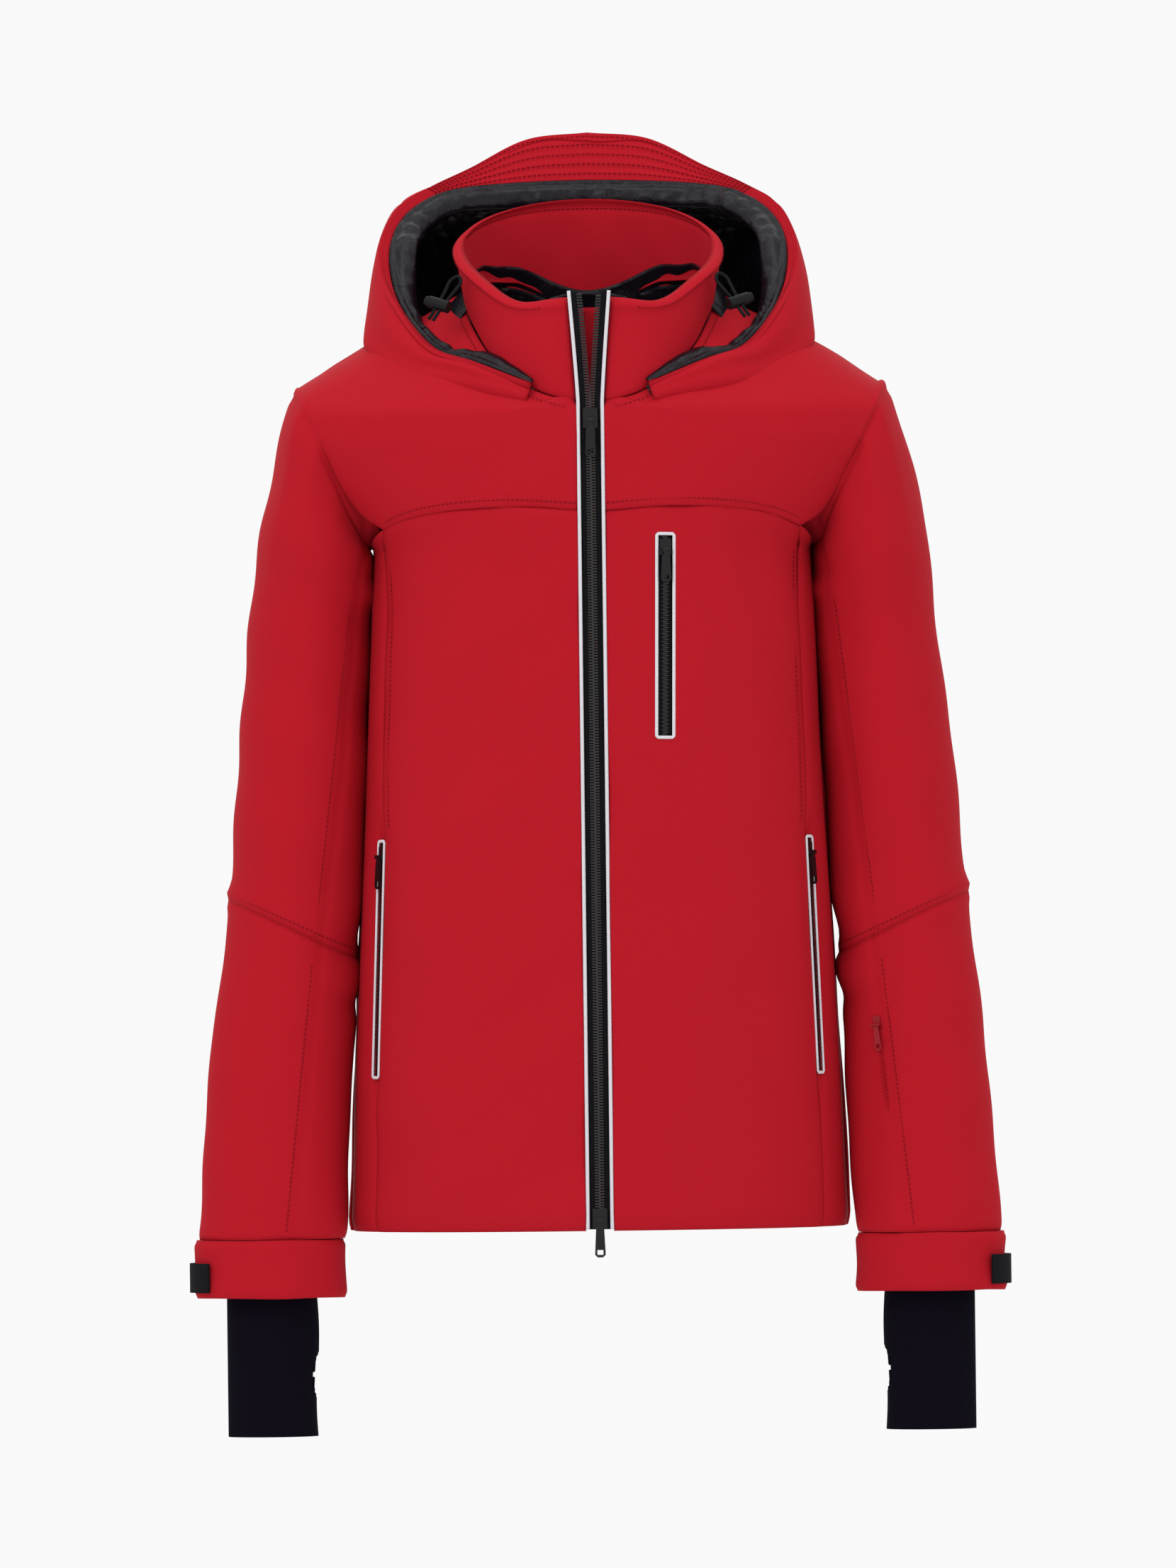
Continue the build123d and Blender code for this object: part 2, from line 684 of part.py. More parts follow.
def off_body(p):
    if p.Z > 6:
        return True
    share = (abs(p.X) / between(TORSO, p.Z, 1)) ** POWER
    share += (abs(p.Y - body_middle(p.Z)) / body_half_depth(p.Z)) ** POWER
    return share > 1.2


def hood_grid(first, last, columns):
    grid = []
    turns = [first + (last - first) * j / (columns - 1) for j in range(columns)]
    ends = [(hood_edge(t, off_body), hood_edge(t, above_rim)) for t in turns]
    for i in range(8):
        share = i / 7
        grid.append([hood_point(t, low + share * (high - low)) for t, (low, high) in zip(turns, ends)])
    return grid


def hood_normals(grid):
    """Normals of the egg, so that neighbouring panels agree along their seam."""
    found = []
    for row in grid:
        line = []
        for p in row:
            x, y, z = p.X / HOOD_HALF[0], (p.Y - HOOD_MIDDLE[1]) / HOOD_HALF[1], (p.Z - HOOD_MIDDLE[2]) / HOOD_HALF[2]
            reach = math.hypot(x, y)
            line.append(
                Vector(x * reach / HOOD_HALF[0], y * reach / HOOD_HALF[1], z * abs(z) / HOOD_HALF[2]).normalized()
            )
        found.append(line)
    return found


hood_linings = []
for name, first, last, columns in (
    ("hood_centre", HOOD_BAND, 180 - HOOD_BAND, 9),
    ("hood_side_left", HOOD_START, HOOD_BAND, 12),
):
    grid = hood_grid(first, last, columns)
    normals = hood_normals(grid)
    sheet = fabric(grid, normals, 0, HOOD_PLY)
    under = fabric(grid, normals, HOOD_PLY + 1.2, HOOD_PLY + 3.2)
    keep(name, sheet)
    hood_linings.append(under)
    if name == "hood_side_left":
        keep("hood_side_right", mirror_x(sheet))
        hood_linings.append(mirror_x(under))
keep("hood_lining", *hood_linings)

visor_arc = [(-112, 86), (-60, 110), (0, 121), (60, 110), (112, 86)]
visor_low = [(112, 84), (60, 87), (0, 88), (-60, 87), (-112, 84)]
visor_face = Plane.XZ * make_face(Polyline(*visor_arc, *visor_low, close=True))
keep("hood_visor", extrude(Pos(0, 2, 0) * visor_face, 5))

# ---- hood drawcords with their cord locks ----
LOCK_PLACE = (112.0, -150.0, -12.0)
CORD_D = 2.6
lock_frame = Plane(origin=LOCK_PLACE, x_dir=(0.87, 0.35, 0.35), z_dir=(0.2, -0.75, 0.62))


def along(plane, *points):
    return [plane.from_local_coords(Vector(*p)) for p in points]


barrel_turn = lock_frame * Rot(0, 90, 0)
barrel = barrel_turn * Cylinder(4.6, 17)
barrel -= block(lock_frame, 3.0, 9, -8, 8, -8, 8) & (barrel_turn * Cylinder(3.6, 40))
barrel -= block(lock_frame, -5.2, 2.4, -8, 8, -1.6, 1.6)
button = barrel_turn * Pos(0, 0, 8.9) * Cylinder(3.5, 5.4)
cord_points = [(-3.3, -15, 0), (-3.3, 0, 0), (-4.6, 12, 0), (-6.2, 24, 0.5), (-1.4, 30, 1), (3.4, 24, 0.5), (1.8, 12, 0), (0.5, 0, 0), (0.5, -15, 0)]
route = along(lock_frame, *cord_points)


def arc_radii(points, share=0.45):
    """The largest arc that each corner's two runs allow."""
    radii = []
    for a, b, c in zip(points, points[1:], points[2:]):
        turn = math.radians((b - a).get_angle(c - b))
        radii.append(share * min((b - a).length, (c - b).length) / math.tan(turn / 2))
    return radii


radii = arc_radii(route)
print("drawcord radii", [round(r, 1) for r in radii])
cord_path = FilletPolyline(*route, radius=radii)
cord_start = Plane(origin=cord_path @ 0, z_dir=cord_path % 0)
drawcord = sweep(cord_start * Circle(CORD_D / 2), path=cord_path)
print("drawcord", round(drawcord.volume / (math.pi * CORD_D**2 / 4), 1), round(cord_path.length, 1))

for name, solid in (("cord_lock", largest(barrel)), ("cord_lock_button", button), ("drawcord", drawcord)):
    keep(name + "_left", solid)
    keep(name + "_right", mirror_x(solid))

# ---- files ----
os.makedirs("parts", exist_ok=True)
for old in os.listdir("parts"):
    os.remove(os.path.join("parts", old))
for name, shape in NODES.items():
    export_step(shape, os.path.join("parts", name + ".step"))
print(len(NODES), "nodes")
for name, plane in (("front", front), ("chest", CHEST[0]), ("hand", HAND[0]), ("sleeve", POCKET), ("lock", lock_frame)):
    axes = (plane.x_dir, plane.y_dir, plane.z_dir)
    print("plane", name, [[round(v, 5) for v in (a.X, a.Y, a.Z)] for a in axes])
for name, pivot in PIVOTS.items():
    print("pivot", name, [round(v, 3) for v in (pivot.X, pivot.Y + LOOP_FORWARD, pivot.Z)])
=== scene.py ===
"""Hooded softshell ski jacket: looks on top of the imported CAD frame. Metres, +Z up, the front faces -Y."""

import json
import math

import bmesh
import bpy
import numpy as np
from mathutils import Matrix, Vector


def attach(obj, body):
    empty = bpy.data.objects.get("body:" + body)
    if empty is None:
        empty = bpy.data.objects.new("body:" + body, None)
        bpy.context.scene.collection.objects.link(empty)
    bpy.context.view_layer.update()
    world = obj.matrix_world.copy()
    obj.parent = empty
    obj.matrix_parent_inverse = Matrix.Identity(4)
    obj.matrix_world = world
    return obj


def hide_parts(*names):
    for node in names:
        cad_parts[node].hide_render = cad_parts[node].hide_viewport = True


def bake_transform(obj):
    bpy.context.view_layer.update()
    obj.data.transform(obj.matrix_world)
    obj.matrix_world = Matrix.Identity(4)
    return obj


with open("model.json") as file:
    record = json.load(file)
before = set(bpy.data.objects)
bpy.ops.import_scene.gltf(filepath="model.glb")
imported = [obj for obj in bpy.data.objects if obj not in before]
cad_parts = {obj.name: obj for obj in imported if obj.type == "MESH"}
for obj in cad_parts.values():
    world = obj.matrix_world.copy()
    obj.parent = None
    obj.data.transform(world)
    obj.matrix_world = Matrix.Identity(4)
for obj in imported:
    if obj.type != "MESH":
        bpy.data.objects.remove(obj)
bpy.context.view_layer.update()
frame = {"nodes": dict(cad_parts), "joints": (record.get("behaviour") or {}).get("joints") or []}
MM = 0.001
FORWARD = 7.6  # added to every y below, which puts the hanger loop's top at y = 0

# ---- the garment's form, in mm: the CAD's, with the sides below the armhole up to 4 mm wider ----
# Rows of height, half width, front y and back y.
TORSO = np.array([
    (-705, 188.5, -216, 44), (-590, 184, -213, 38), (-450, 177, -209, 28), (-330, 171, -205, 30),
    (-235, 168, -202, 36), (-195, 165, -201, 38), (-150, 208, -200, 38), (-115, 236, -199, 34),
    (-90, 236, -198, 30), (-72, 221, -180, 25), (-52, 190, -162, 19), (-34, 160, -147, 13),
    (-14, 118, -130, 6), (6, 84, -116, -4),
], float)
POWER = 2.3  # how square the body's level sections are
SHOULDER, UNDERARM = (223.5, -75.0), (165.0, -195.0)  # ends of the armhole, as (x, z)
ZIP_HALF = 10.5
HEM = -705
NECK_X, NECK_Y, NECK_MIDDLE = 94, 100, -95  # half axes of the neck seam, and the y of its middle
NECK_SIDE = math.radians(20.3)  # where the neck seam meets the shoulder line
SHELL, BACKING = 2.4, 1.0  # thicknesses of the cloth and of the dark lining behind it


def table(z, column):
    return np.interp(z, TORSO[:, 0], TORSO[:, column])


def body_y(x, z, back=False):
    """Front or back of the body at (x, z)."""
    middle = (table(z, 2) + table(z, 3)) / 2
    depth = (table(z, 3) - table(z, 2)) / 2
    share = np.clip((np.abs(x) / table(z, 1)) ** POWER, 0, 1)
    reach = depth * (1 - share) ** (1 / POWER)
    return middle + reach if back else middle - reach


def armhole_x(z):
    return np.interp(z, (UNDERARM[1], SHOULDER[1]), (UNDERARM[0], SHOULDER[0]))


def neck_z(turn):
    """Height at which the neck seam's line meets the body."""
    x, y = NECK_X * math.cos(turn), NECK_MIDDLE + NECK_Y * math.sin(turn)
    low, high = -100.0, 6.0
    for _ in range(30):
        z = (low + high) / 2
        middle, depth = (table(z, 2) + table(z, 3)) / 2, (table(z, 3) - table(z, 2)) / 2
        form = (abs(x) / table(z, 1)) ** POWER + (abs(y - middle) / depth) ** POWER
        low, high = (z, high) if form < 1 else (low, z)
    return (low + high) / 2


# ---- lines and patches ----
def catmull(rows, steps):
    """Smooth rows between given rows (first axis), steps per span."""
    rows = np.asarray(rows, float)
    padded = np.concatenate([[2 * rows[0] - rows[1]], rows, [2 * rows[-1] - rows[-2]]])
    found = []
    for i in range(1, len(padded) - 2):
        a, b, c, d = padded[i - 1 : i + 3]
        square = 2 * a - 5 * b + 4 * c - d
        cube = 3 * b - a - 3 * c + d
        for k in range(steps):
            t = k / steps
            found.append(0.5 * (2 * b + (c - a) * t + square * t**2 + cube * t**3))
    found.append(padded[-2])
    return np.array(found)


def run_of(path):
    """Distance along a path at each of its points."""
    return np.r_[0, np.cumsum(np.linalg.norm(np.diff(path, axis=0), axis=1))]


def curve(points, count):
    """Evenly spaced points on a smooth line through the given ones."""
    fine = catmull(points, 24)
    run = run_of(fine)
    at = np.linspace(0, run[-1], count)
    return np.stack([np.interp(at, run, fine[:, k]) for k in range(fine.shape[1])], axis=1)


def x_on(line, z):
    """The x at height z of a line of (x, z) points that runs downward."""
    return np.interp(-z, [-low for _, low in line], [x for x, _ in line])


def coons(bottom, top, left, right):
    """A patch between four border lines; bottom and top run left to right."""
    v = np.linspace(0, 1, len(left))[:, None, None]
    u = np.linspace(0, 1, len(bottom))[None, :, None]
    straight = (1 - v) * bottom[None] + v * top[None] + (1 - u) * left[:, None] + u * right[:, None]
    corners = (1 - u) * (1 - v) * bottom[0] + u * (1 - v) * bottom[-1]
    corners = corners + (1 - u) * v * top[0] + u * v * top[-1]
    return straight - corners


def normals(points, closed=False):
    if closed:
        across = np.roll(points, -1, axis=1) - np.roll(points, 1, axis=1)
    else:
        across = np.gradient(points, axis=1)
    n = np.cross(across, np.gradient(points, axis=0))
    size = np.linalg.norm(n, axis=2, keepdims=True)
    return n / np.maximum(size, 1e-9)


def outward(points, centre, closed=False):
    n = normals(points, closed)
    return n if np.sum(n * (points - np.asarray(centre))) > 0 else -n


def hump(distance, width):
    """A bell that is 1 at distance 0."""
    return np.exp(-((distance / width) ** 2))


def fade(distance, width):
    """1 up to distance 0, then half a bell."""
    return hump(np.maximum(0, distance), width)


# ---- materials ----
def material(
    name, colour, rough, grain=900.0, bump=0.15, metal=0.0, vary=0.12, coat=0.0, folds=0.0, shine=0.12
):
    """Colour and relief from a fine noise, with soft folds on top where asked."""
    m = bpy.data.materials.new(name)
    m.use_nodes = True
    nodes, links = m.node_tree.nodes, m.node_tree.links
    shader = nodes["Principled BSDF"]
    shader.inputs["Roughness"].default_value = rough
    shader.inputs["Metallic"].default_value = metal
    shader.inputs["Coat Weight"].default_value = coat
    shader.inputs["Specular IOR Level"].default_value = shine
    place = nodes.new("ShaderNodeTexCoord")
    fine = nodes.new("ShaderNodeTexNoise")
    fine.inputs["Scale"].default_value = grain
    fine.inputs["Detail"].default_value = 3
    links.new(place.outputs["Object"], fine.inputs["Vector"])
    ramp = nodes.new("ShaderNodeValToRGB")
    dark, light = ramp.color_ramp.elements
    dark.position, light.position = 0.35, 0.65
    dark.color = (*[c * (1 - vary) for c in colour], 1)
    light.color = (*[min(1, c * (1 + vary)) for c in colour], 1)
    links.new(fine.outputs["Fac"], ramp.inputs["Fac"])
    links.new(ramp.outputs["Color"], shader.inputs["Base Color"])
    relief = nodes.new("ShaderNodeBump")
    relief.inputs["Strength"].default_value = bump
    relief.inputs["Distance"].default_value = 0.0004
    links.new(fine.outputs["Fac"], relief.inputs["Height"])
    if folds:
        soft = nodes.new("ShaderNodeTexNoise")
        soft.inputs["Scale"].default_value = 38
        soft.inputs["Detail"].default_value = 4
        soft.inputs["Distortion"].default_value = 1.2
        links.new(place.outputs["Object"], soft.inputs["Vector"])
        big = nodes.new("ShaderNodeBump")
        big.inputs["Strength"].default_value = folds
        big.inputs["Distance"].default_value = 0.006
        links.new(soft.outputs["Fac"], big.inputs["Height"])
        links.new(relief.outputs["Normal"], big.inputs["Normal"])
        links.new(big.outputs["Normal"], shader.inputs["Normal"])
    else:
        links.new(relief.outputs["Normal"], shader.inputs["Normal"])
    return m


RED = material("softshell", (0.385, 0.0052, 0.0135), 0.85, grain=1400, bump=0.12, vary=0.06)
RED_THREAD = material("red_thread", (0.20, 0.003, 0.008), 0.8, vary=0.1)
LINING = material(
    "lining", (0.0045, 0.0035, 0.0065), 0.36, grain=1800, bump=0.1, folds=0.5, vary=0.1, shine=0.2
)
PIPING = material("piping", (0.60, 0.585, 0.62), 0.7, grain=1600, bump=0.2)
TEETH = material("zip_black", (0.006, 0.006, 0.007), 0.2, coat=0.15, bump=0.03, shine=0.4)
TAPE = material("tape_black", (0.0045, 0.004, 0.006), 0.85, grain=2200, bump=0.4)
METAL = material("slider_black", (0.008, 0.008, 0.009), 0.16, metal=0.3, coat=0.3, bump=0.02, vary=0.04)
METAL_RED = material("slider_red", (0.26, 0.006, 0.012), 0.3, coat=0.2, bump=0.02)
KNIT = material("gaiter_knit", (0.0035, 0.0024, 0.0062), 0.92, grain=1500, bump=0.5, shine=0.05)
PLASTIC = material("lock_plastic", (0.006, 0.006, 0.007), 0.45, bump=0.05)
CORD = material("cord", (0.005, 0.005, 0.006), 0.75, grain=2500, bump=0.6)


# ---- builders ----
def finish_mesh(name, vertices, faces, mat, smooth=True):
    """Makes an object from points in mm in the form's own frame."""
    mesh = bpy.data.meshes.new(name)
    co = np.asarray(vertices, float).reshape(-1, 3).copy()
    co[:, 1] += FORWARD
    mesh.from_pydata((co * MM).tolist(), [], faces)
    mesh.materials.append(mat)
    mesh.polygons.foreach_set("use_smooth", [smooth] * len(mesh.polygons))
    mesh.update()
    obj = bpy.data.objects.new(name, mesh)
    bpy.context.scene.collection.objects.link(obj)
    return obj


def fix_normals(obj):
    b = bmesh.new()
    b.from_mesh(obj.data)
    bmesh.ops.recalc_face_normals(b, faces=b.faces)
    b.to_mesh(obj.data)
    b.free()


def cloth(name, points, out, thickness, mat, closed=False, hole=None):
    """A sheet with thickness: points are its outer face in rows, out the outward normals."""
    rows, columns = points.shape[:2]
    top, under = points.reshape(-1, 3), (points - out * thickness).reshape(-1, 3)
    half = rows * columns
    faces = []
    wrap = columns if closed else columns - 1
    present = np.ones((rows - 1, wrap), bool) if hole is None else ~hole[: rows - 1, :wrap]
    for i in range(rows - 1):
        for j in range(wrap):
            if not present[i, j]:
                continue
            k = (j + 1) % columns
            a, b, c, d = i * columns + j, i * columns + k, (i + 1) * columns + k, (i + 1) * columns + j
            faces += [(a, b, c, d), (d + half, c + half, b + half, a + half)]
            beside = {(a, b): (i - 1, j), (c, d): (i + 1, j), (b, c): (i, j + 1), (d, a): (i, j - 1)}
            for (p, q), (ni, nj) in beside.items():
                if closed:
                    nj %= wrap
                if not (0 <= ni < rows - 1 and 0 <= nj < wrap and present[ni, nj]):
                    faces.append((q, p, p + half, q + half))
    obj = finish_mesh(name, np.concatenate([top, under]), faces, mat)
    fix_normals(obj)
    return obj


def boxes(name, centres, axes, half, mat):
    """Many small blocks in one mesh: centres (n,3), axes (n,3,3) rows, half sizes (3)."""
    corners = np.array([(x, y, z) for x in (-1, 1) for y in (-1, 1) for z in (-1, 1)], float) * half
    vertices = np.asarray(centres)[:, None] + np.einsum("ck,nkd->ncd", corners, np.asarray(axes))
    quad = np.array([(0, 1, 3, 2), (4, 6, 7, 5), (0, 4, 5, 1), (2, 3, 7, 6), (0, 2, 6, 4), (1, 5, 7, 3)])
    faces = (quad[None] + 8 * np.arange(len(centres))[:, None, None]).reshape(-1, 4)
    return finish_mesh(name, vertices, faces.tolist(), mat, smooth=False)


def tube(name, path, radius, mat, closed=False, sides=10, flat=1.0, up=(0, -1, 0)):
    path = np.asarray(path, float)
    along = np.roll(path, -1, 0) - np.roll(path, 1, 0) if closed else np.gradient(path, axis=0)
    along /= np.linalg.norm(along, axis=1, keepdims=True)
    side = np.cross(along, np.asarray(up, float))
    side /= np.maximum(np.linalg.norm(side, axis=1, keepdims=True), 1e-9)
    top = np.cross(side, along)
    turns = 2 * np.pi * np.arange(sides) / sides
    wide = side[:, None] * np.cos(turns)[None, :, None] * radius
    high = top[:, None] * np.sin(turns)[None, :, None] * radius * flat
    points = path[:, None] + (wide + high)
    n, faces = len(path), []
    for i in range(n if closed else n - 1):
        for j in range(sides):
            k, m = (j + 1) % sides, (i + 1) % n
            faces.append((i * sides + j, i * sides + k, m * sides + k, m * sides + j))
    if not closed:
        faces += [tuple(range(sides))[::-1], tuple((n - 1) * sides + j for j in range(sides))]
    obj = finish_mesh(name, points, faces, mat)
    fix_normals(obj)
    return obj


def stitches(name, path, out, pitch=3.6, length=2.3, radius=0.38):
    """A row of stitches along a path on a surface with outward normals."""
    path, out = np.asarray(path, float), np.asarray(out, float)
    lift, sides = 0.12, 6
    run = run_of(path)
    at = np.arange(pitch / 2, run[-1] - pitch / 2, pitch)

    def spot(s):
        return np.stack([np.interp(s, run, path[:, k]) for k in range(3)], 1)

    n = np.stack([np.interp(at, run, out[:, k]) for k in range(3)], 1)
    n /= np.linalg.norm(n, axis=1, keepdims=True)
    a, b = spot(at - length / 2), spot(at + length / 2)
    u = (b - a) / np.linalg.norm(b - a, axis=1, keepdims=True)
    w = np.cross(u, n)
    vertices, faces = [], []
    shape = [(-length / 2, 0.45), (-length / 4, 1.0), (length / 4, 1.0), (length / 2, 0.45)]
    for i in range(len(at)):
        c = (a[i] + b[i]) / 2 + n[i] * lift
        start = len(vertices)
        for x, r in shape:
            for t in range(sides):
                angle = math.pi * t / 3
                around = w[i] * math.cos(angle) + n[i] * math.sin(angle)
                vertices.append(c + u[i] * x + around * radius * r)
        for s in range(3):
            low = start + s * sides
            for t in range(sides):
                k = (t + 1) % sides
                faces.append((low + t, low + k, low + sides + k, low + sides + t))
        faces += [tuple(start + t for t in range(sides)), tuple(start + 18 + t for t in range(sides))[::-1]]
    return finish_mesh(name, vertices, faces, RED_THREAD)


def edge_groove(shape, spacing, sides, depth=1.3, width=2.6):
    """Height that dips at the named borders of a grid, given the spacing (rows, columns) in mm."""
    rows, columns = shape
    i, j = np.arange(rows)[:, None] * spacing[0], np.arange(columns)[None] * spacing[1]
    from_side = {"low": i, "high": i[-1] - i, "left": j, "right": j[:, -1:] - j}
    dist = np.full(shape, 1e3)
    for side in sides:
        dist = np.minimum(dist, from_side[side])
    return -depth * hump(dist, width)


def soft_relief(points, seed, size=1.2, scale=90.0):
    """Low wide undulations, longer down the garment than across it."""
    r = np.random.default_rng(seed)
    height = np.zeros(points.shape[:2])
    for _ in range(9):
        k = r.normal(size=3) * np.array([1.0, 0.6, 0.55]) * 2 * np.pi / scale
        height += np.sin(points @ k + r.uniform(0, 6.3)) / 3
    return height * size


# ---- places and directions of the zips, from the frame's joints ----
ROOT = "jacket_body"
JOINTS = {joint["name"]: joint for joint in frame["joints"]}
PIVOT_DOWN, PIVOT_OUT = 2.0, 2.6  # from a slider's middle to the pivot of its pull
SLIDER_REST, SLEEVE_SLIDER_REST = -10, -7
CHEST_LENGTH, HAND_LENGTH, SLEEVE_LENGTH = 152, 177, 110


def zip_axes(name):
    """Directions across, up and out of a zip."""
    x_dir = -np.array(JOINTS[name + "_pull_swing"]["axis"], float)
    y_dir = -np.array(JOINTS[name + "_slide"]["axis"], float)
    return x_dir, y_dir, np.cross(x_dir, y_dir)


def zip_top(name, rest=SLIDER_REST):
    """Top middle of a zip whose slider rests at this height from it."""
    _, y_dir, z_dir = zip_axes(name)
    pivot = np.array(JOINTS[name + "_pull_swing"]["pos_m"]) / MM - (0, FORWARD, 0)
    return pivot - y_dir * (rest - PIVOT_DOWN) - z_dir * PIVOT_OUT


def in_plane(points, origin, axes):
    """How far points are across, up and out of a zip."""
    local = points - origin
    return [local @ axis for axis in axes]


# A mouth is its top middle, directions, half width and length.
CHEST_MOUTH = (zip_top("chest"), zip_axes("chest"), 6.4, CHEST_LENGTH)
HAND_MOUTHS = {
    hand: (zip_top(f"hand_{hand}"), zip_axes(f"hand_{hand}"), 4.2, HAND_LENGTH) for hand in ("left", "right")
}

# ---- body ----
BODY_CENTRE = (0, -80, -330)
YOKE_END = (157, -181)
YOKE = [(ZIP_HALF, -168), (60, -165), (105, -167), (138, -173), YOKE_END]
PRINCESS = [YOKE_END, (155, -240), (159, -340), (160, -412), (166.5, -590), (169, HEM)]


def raise_front(xz, back=False):
    return np.stack([xz[..., 0], body_y(xz[..., 0], xz[..., 1], back), xz[..., 1]], -1)


def smooth_body(points):
    """Evens out the creases that straight stations leave."""
    p = points.copy()
    for _ in range(14):
        q = p.copy()
        q[1:-1, 1:-1, 1] = (p[:-2, 1:-1, 1] + p[2:, 1:-1, 1] + p[1:-1, :-2, 1] + p[1:-1, 2:, 1]) / 4
        p = q
    return p


def neck_point(turn):
    return NECK_X * math.cos(turn), neck_z(turn)


yoke_bottom = curve(YOKE, 70)
shoulder_z = np.linspace(3.56, SHOULDER[1], 70)
shoulder_top = np.stack([table(shoulder_z, 1), shoulder_z], 1)
turns = np.linspace(math.radians(-83), NECK_SIDE, 60)
neck_line = np.array([neck_point(t) for t in turns])
yoke_left = curve(np.concatenate([[(ZIP_HALF, -168), (ZIP_HALF, -130)], neck_line[::6], neck_line[-1:]]), 80)
yoke_right = curve([YOKE_END, (armhole_x(-165) - 1, -165), (armhole_x(-120), -120), SHOULDER], 80)
yoke = smooth_body(raise_front(coons(yoke_bottom, shoulder_top, yoke_left, yoke_right)))

ROWS, MIDDLE_COLUMNS, SIDE_COLUMNS = 150, 100, 14
middle = np.zeros((ROWS, MIDDLE_COLUMNS, 2))
side = np.zeros((ROWS, SIDE_COLUMNS, 2))
panel_top = curve(YOKE, MIDDLE_COLUMNS)
for i, s in enumerate(np.linspace(0, 1, ROWS)):
    z = panel_top[:, 1] + s * (HEM - panel_top[:, 1])
    far = x_on(PRINCESS, np.minimum(z, YOKE_END[1]))
    middle[i, :, 0] = ZIP_HALF + (panel_top[:, 0] - ZIP_HALF) / (YOKE_END[0] - ZIP_HALF) * (far - ZIP_HALF)
    middle[i, :, 1] = z
    at = np.linspace(z[-1], UNDERARM[1] + s * (HEM - UNDERARM[1]), SIDE_COLUMNS)
    edge = middle[i, -1, 0]
    side[i, :, 0] = np.linspace(0, 1, SIDE_COLUMNS) * (table(at, 1) - edge) + edge
    side[i, :, 1] = at
middle, side = smooth_body(raise_front(middle)), raise_front(side)


def hem_roll(points):
    """The hem turns in a little at its edge."""
    return -2.2 * hump(points[..., 2] - HEM, 5.0)


def open_pocket(points, mouth):
    """Pulls the grid's nearest lines onto a pocket mouth's edge and returns the cells inside it."""
    origin, axes, half, length = mouth
    for _ in range(2):
        u, v, _out = in_plane(points, origin, axes)
        step_u = np.abs(np.gradient(u, axis=1)).mean() * 0.52
        step_v = np.abs(np.gradient(v, axis=0)).mean() * 0.52
        beside = (v < step_v) & (v > -length - step_v)
        move = np.where(beside & (np.abs(np.abs(u) - half) < step_u), np.sign(u) * half - u, 0)
        points = points + move[..., None] * axes[0]
        u = u + move
        across = np.abs(u) < half + 0.01
        for end in (0, -length):
            shift = np.where(across & (np.abs(v - end) < step_v), end - v, 0)
            points = points + shift[..., None] * axes[1]
            v = v + shift
    u, v, _out = (
        (q[:-1, :-1] + q[1:, :-1] + q[:-1, 1:] + q[1:, 1:]) / 4 for q in in_plane(points, origin, axes)
    )
    hole = np.zeros(points.shape[:2], bool)
    hole[:-1, :-1] = (np.abs(u) < half) & (v < 0) & (v > -length)
    return points, hole


def body_piece(name, points, grooves, spacing, seed, relief, mouth=None, press=None):
    """A piece of the body: mouth cuts a pocket mouth in it, press only sinks it behind one."""
    n = outward(points, BODY_CENTRE)
    h = edge_groove(points.shape[:2], spacing, grooves) + soft_relief(points, seed, relief) + hem_roll(points)
    points = points + n * h[..., None]
    hole = None
    if press:
        origin, axes, half, length = press
        u, v, w = in_plane(points, origin, axes)
        near = fade(np.abs(v + length / 2) - length / 2, 14)
        wide = near * fade(np.abs(u) - half, 16)
        deep = near * np.clip((half + 0.8 - np.abs(u)) / 0.8, 0, 1)
        points = points - (w * wide + 2.3 * deep)[..., None] * axes[2]
    if mouth:
        origin, axes, half, length = mouth
        u, v, w = in_plane(points, origin, axes)
        near = fade(np.abs(u) - half, 14) * fade(np.abs(v + length / 2) - length / 2, 14)
        points = points - (w * near)[..., None] * axes[2]
        points, hole = open_pocket(points, mouth)
    obj = cloth(name, points, n, SHELL, RED, hole=hole)
    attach(obj, ROOT)
    under = cloth(name + "_backing", points - n * 3.4, n, BACKING, LINING)
    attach(under, ROOT)
    return obj


for hand, k in (("left", 1), ("right", -1)):
    flip = np.array([k, 1, 1])
    press = HAND_MOUTHS[hand]
    obj = body_piece(f"yoke_{hand}", yoke * flip, ("low", "right", "high"), (1.9, 2.3), 3 + k, 0.5)
    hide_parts(f"front_yoke_{hand}")
    mouth = CHEST_MOUTH if hand == "left" else None
    obj = body_piece(f"front_{hand}", middle * flip, ("low", "right"), (3.6, 1.5), 7 + k, 0.9, mouth, press)
    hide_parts(f"front_panel_{hand}")
    obj = body_piece(f"side_{hand}", side * flip, ("left", "right"), (3.4, 1.6), 11 + k, 0.5, press=press)
    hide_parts(f"side_panel_{hand}")

BACK_COLUMNS = 97
t = np.pi * np.arange(BACK_COLUMNS) / (BACK_COLUMNS - 1)
r = (np.abs(np.cos(t)) ** POWER + np.abs(np.sin(t)) ** POWER) ** (-1 / POWER)
low = np.array([
    np.stack([table(z, 1) * r * np.cos(t), np.full(BACK_COLUMNS, z)], 1)
    for z in np.linspace(HEM, UNDERARM[1], 100)
])
neck_back = np.array([neck_point(a) for a in np.linspace(NECK_SIDE, math.pi - NECK_SIDE, 41)])
seam = shoulder_top[::-1][np.linspace(0, 69, 29).astype(int)]
top = np.concatenate([seam[:-1], neck_back, (seam * (-1, 1))[::-1][1:]])
border = curve([UNDERARM, (armhole_x(-165), -165), (armhole_x(-120), -120), SHOULDER], 40)
high = coons(low[-1], top, border, border * (-1, 1))
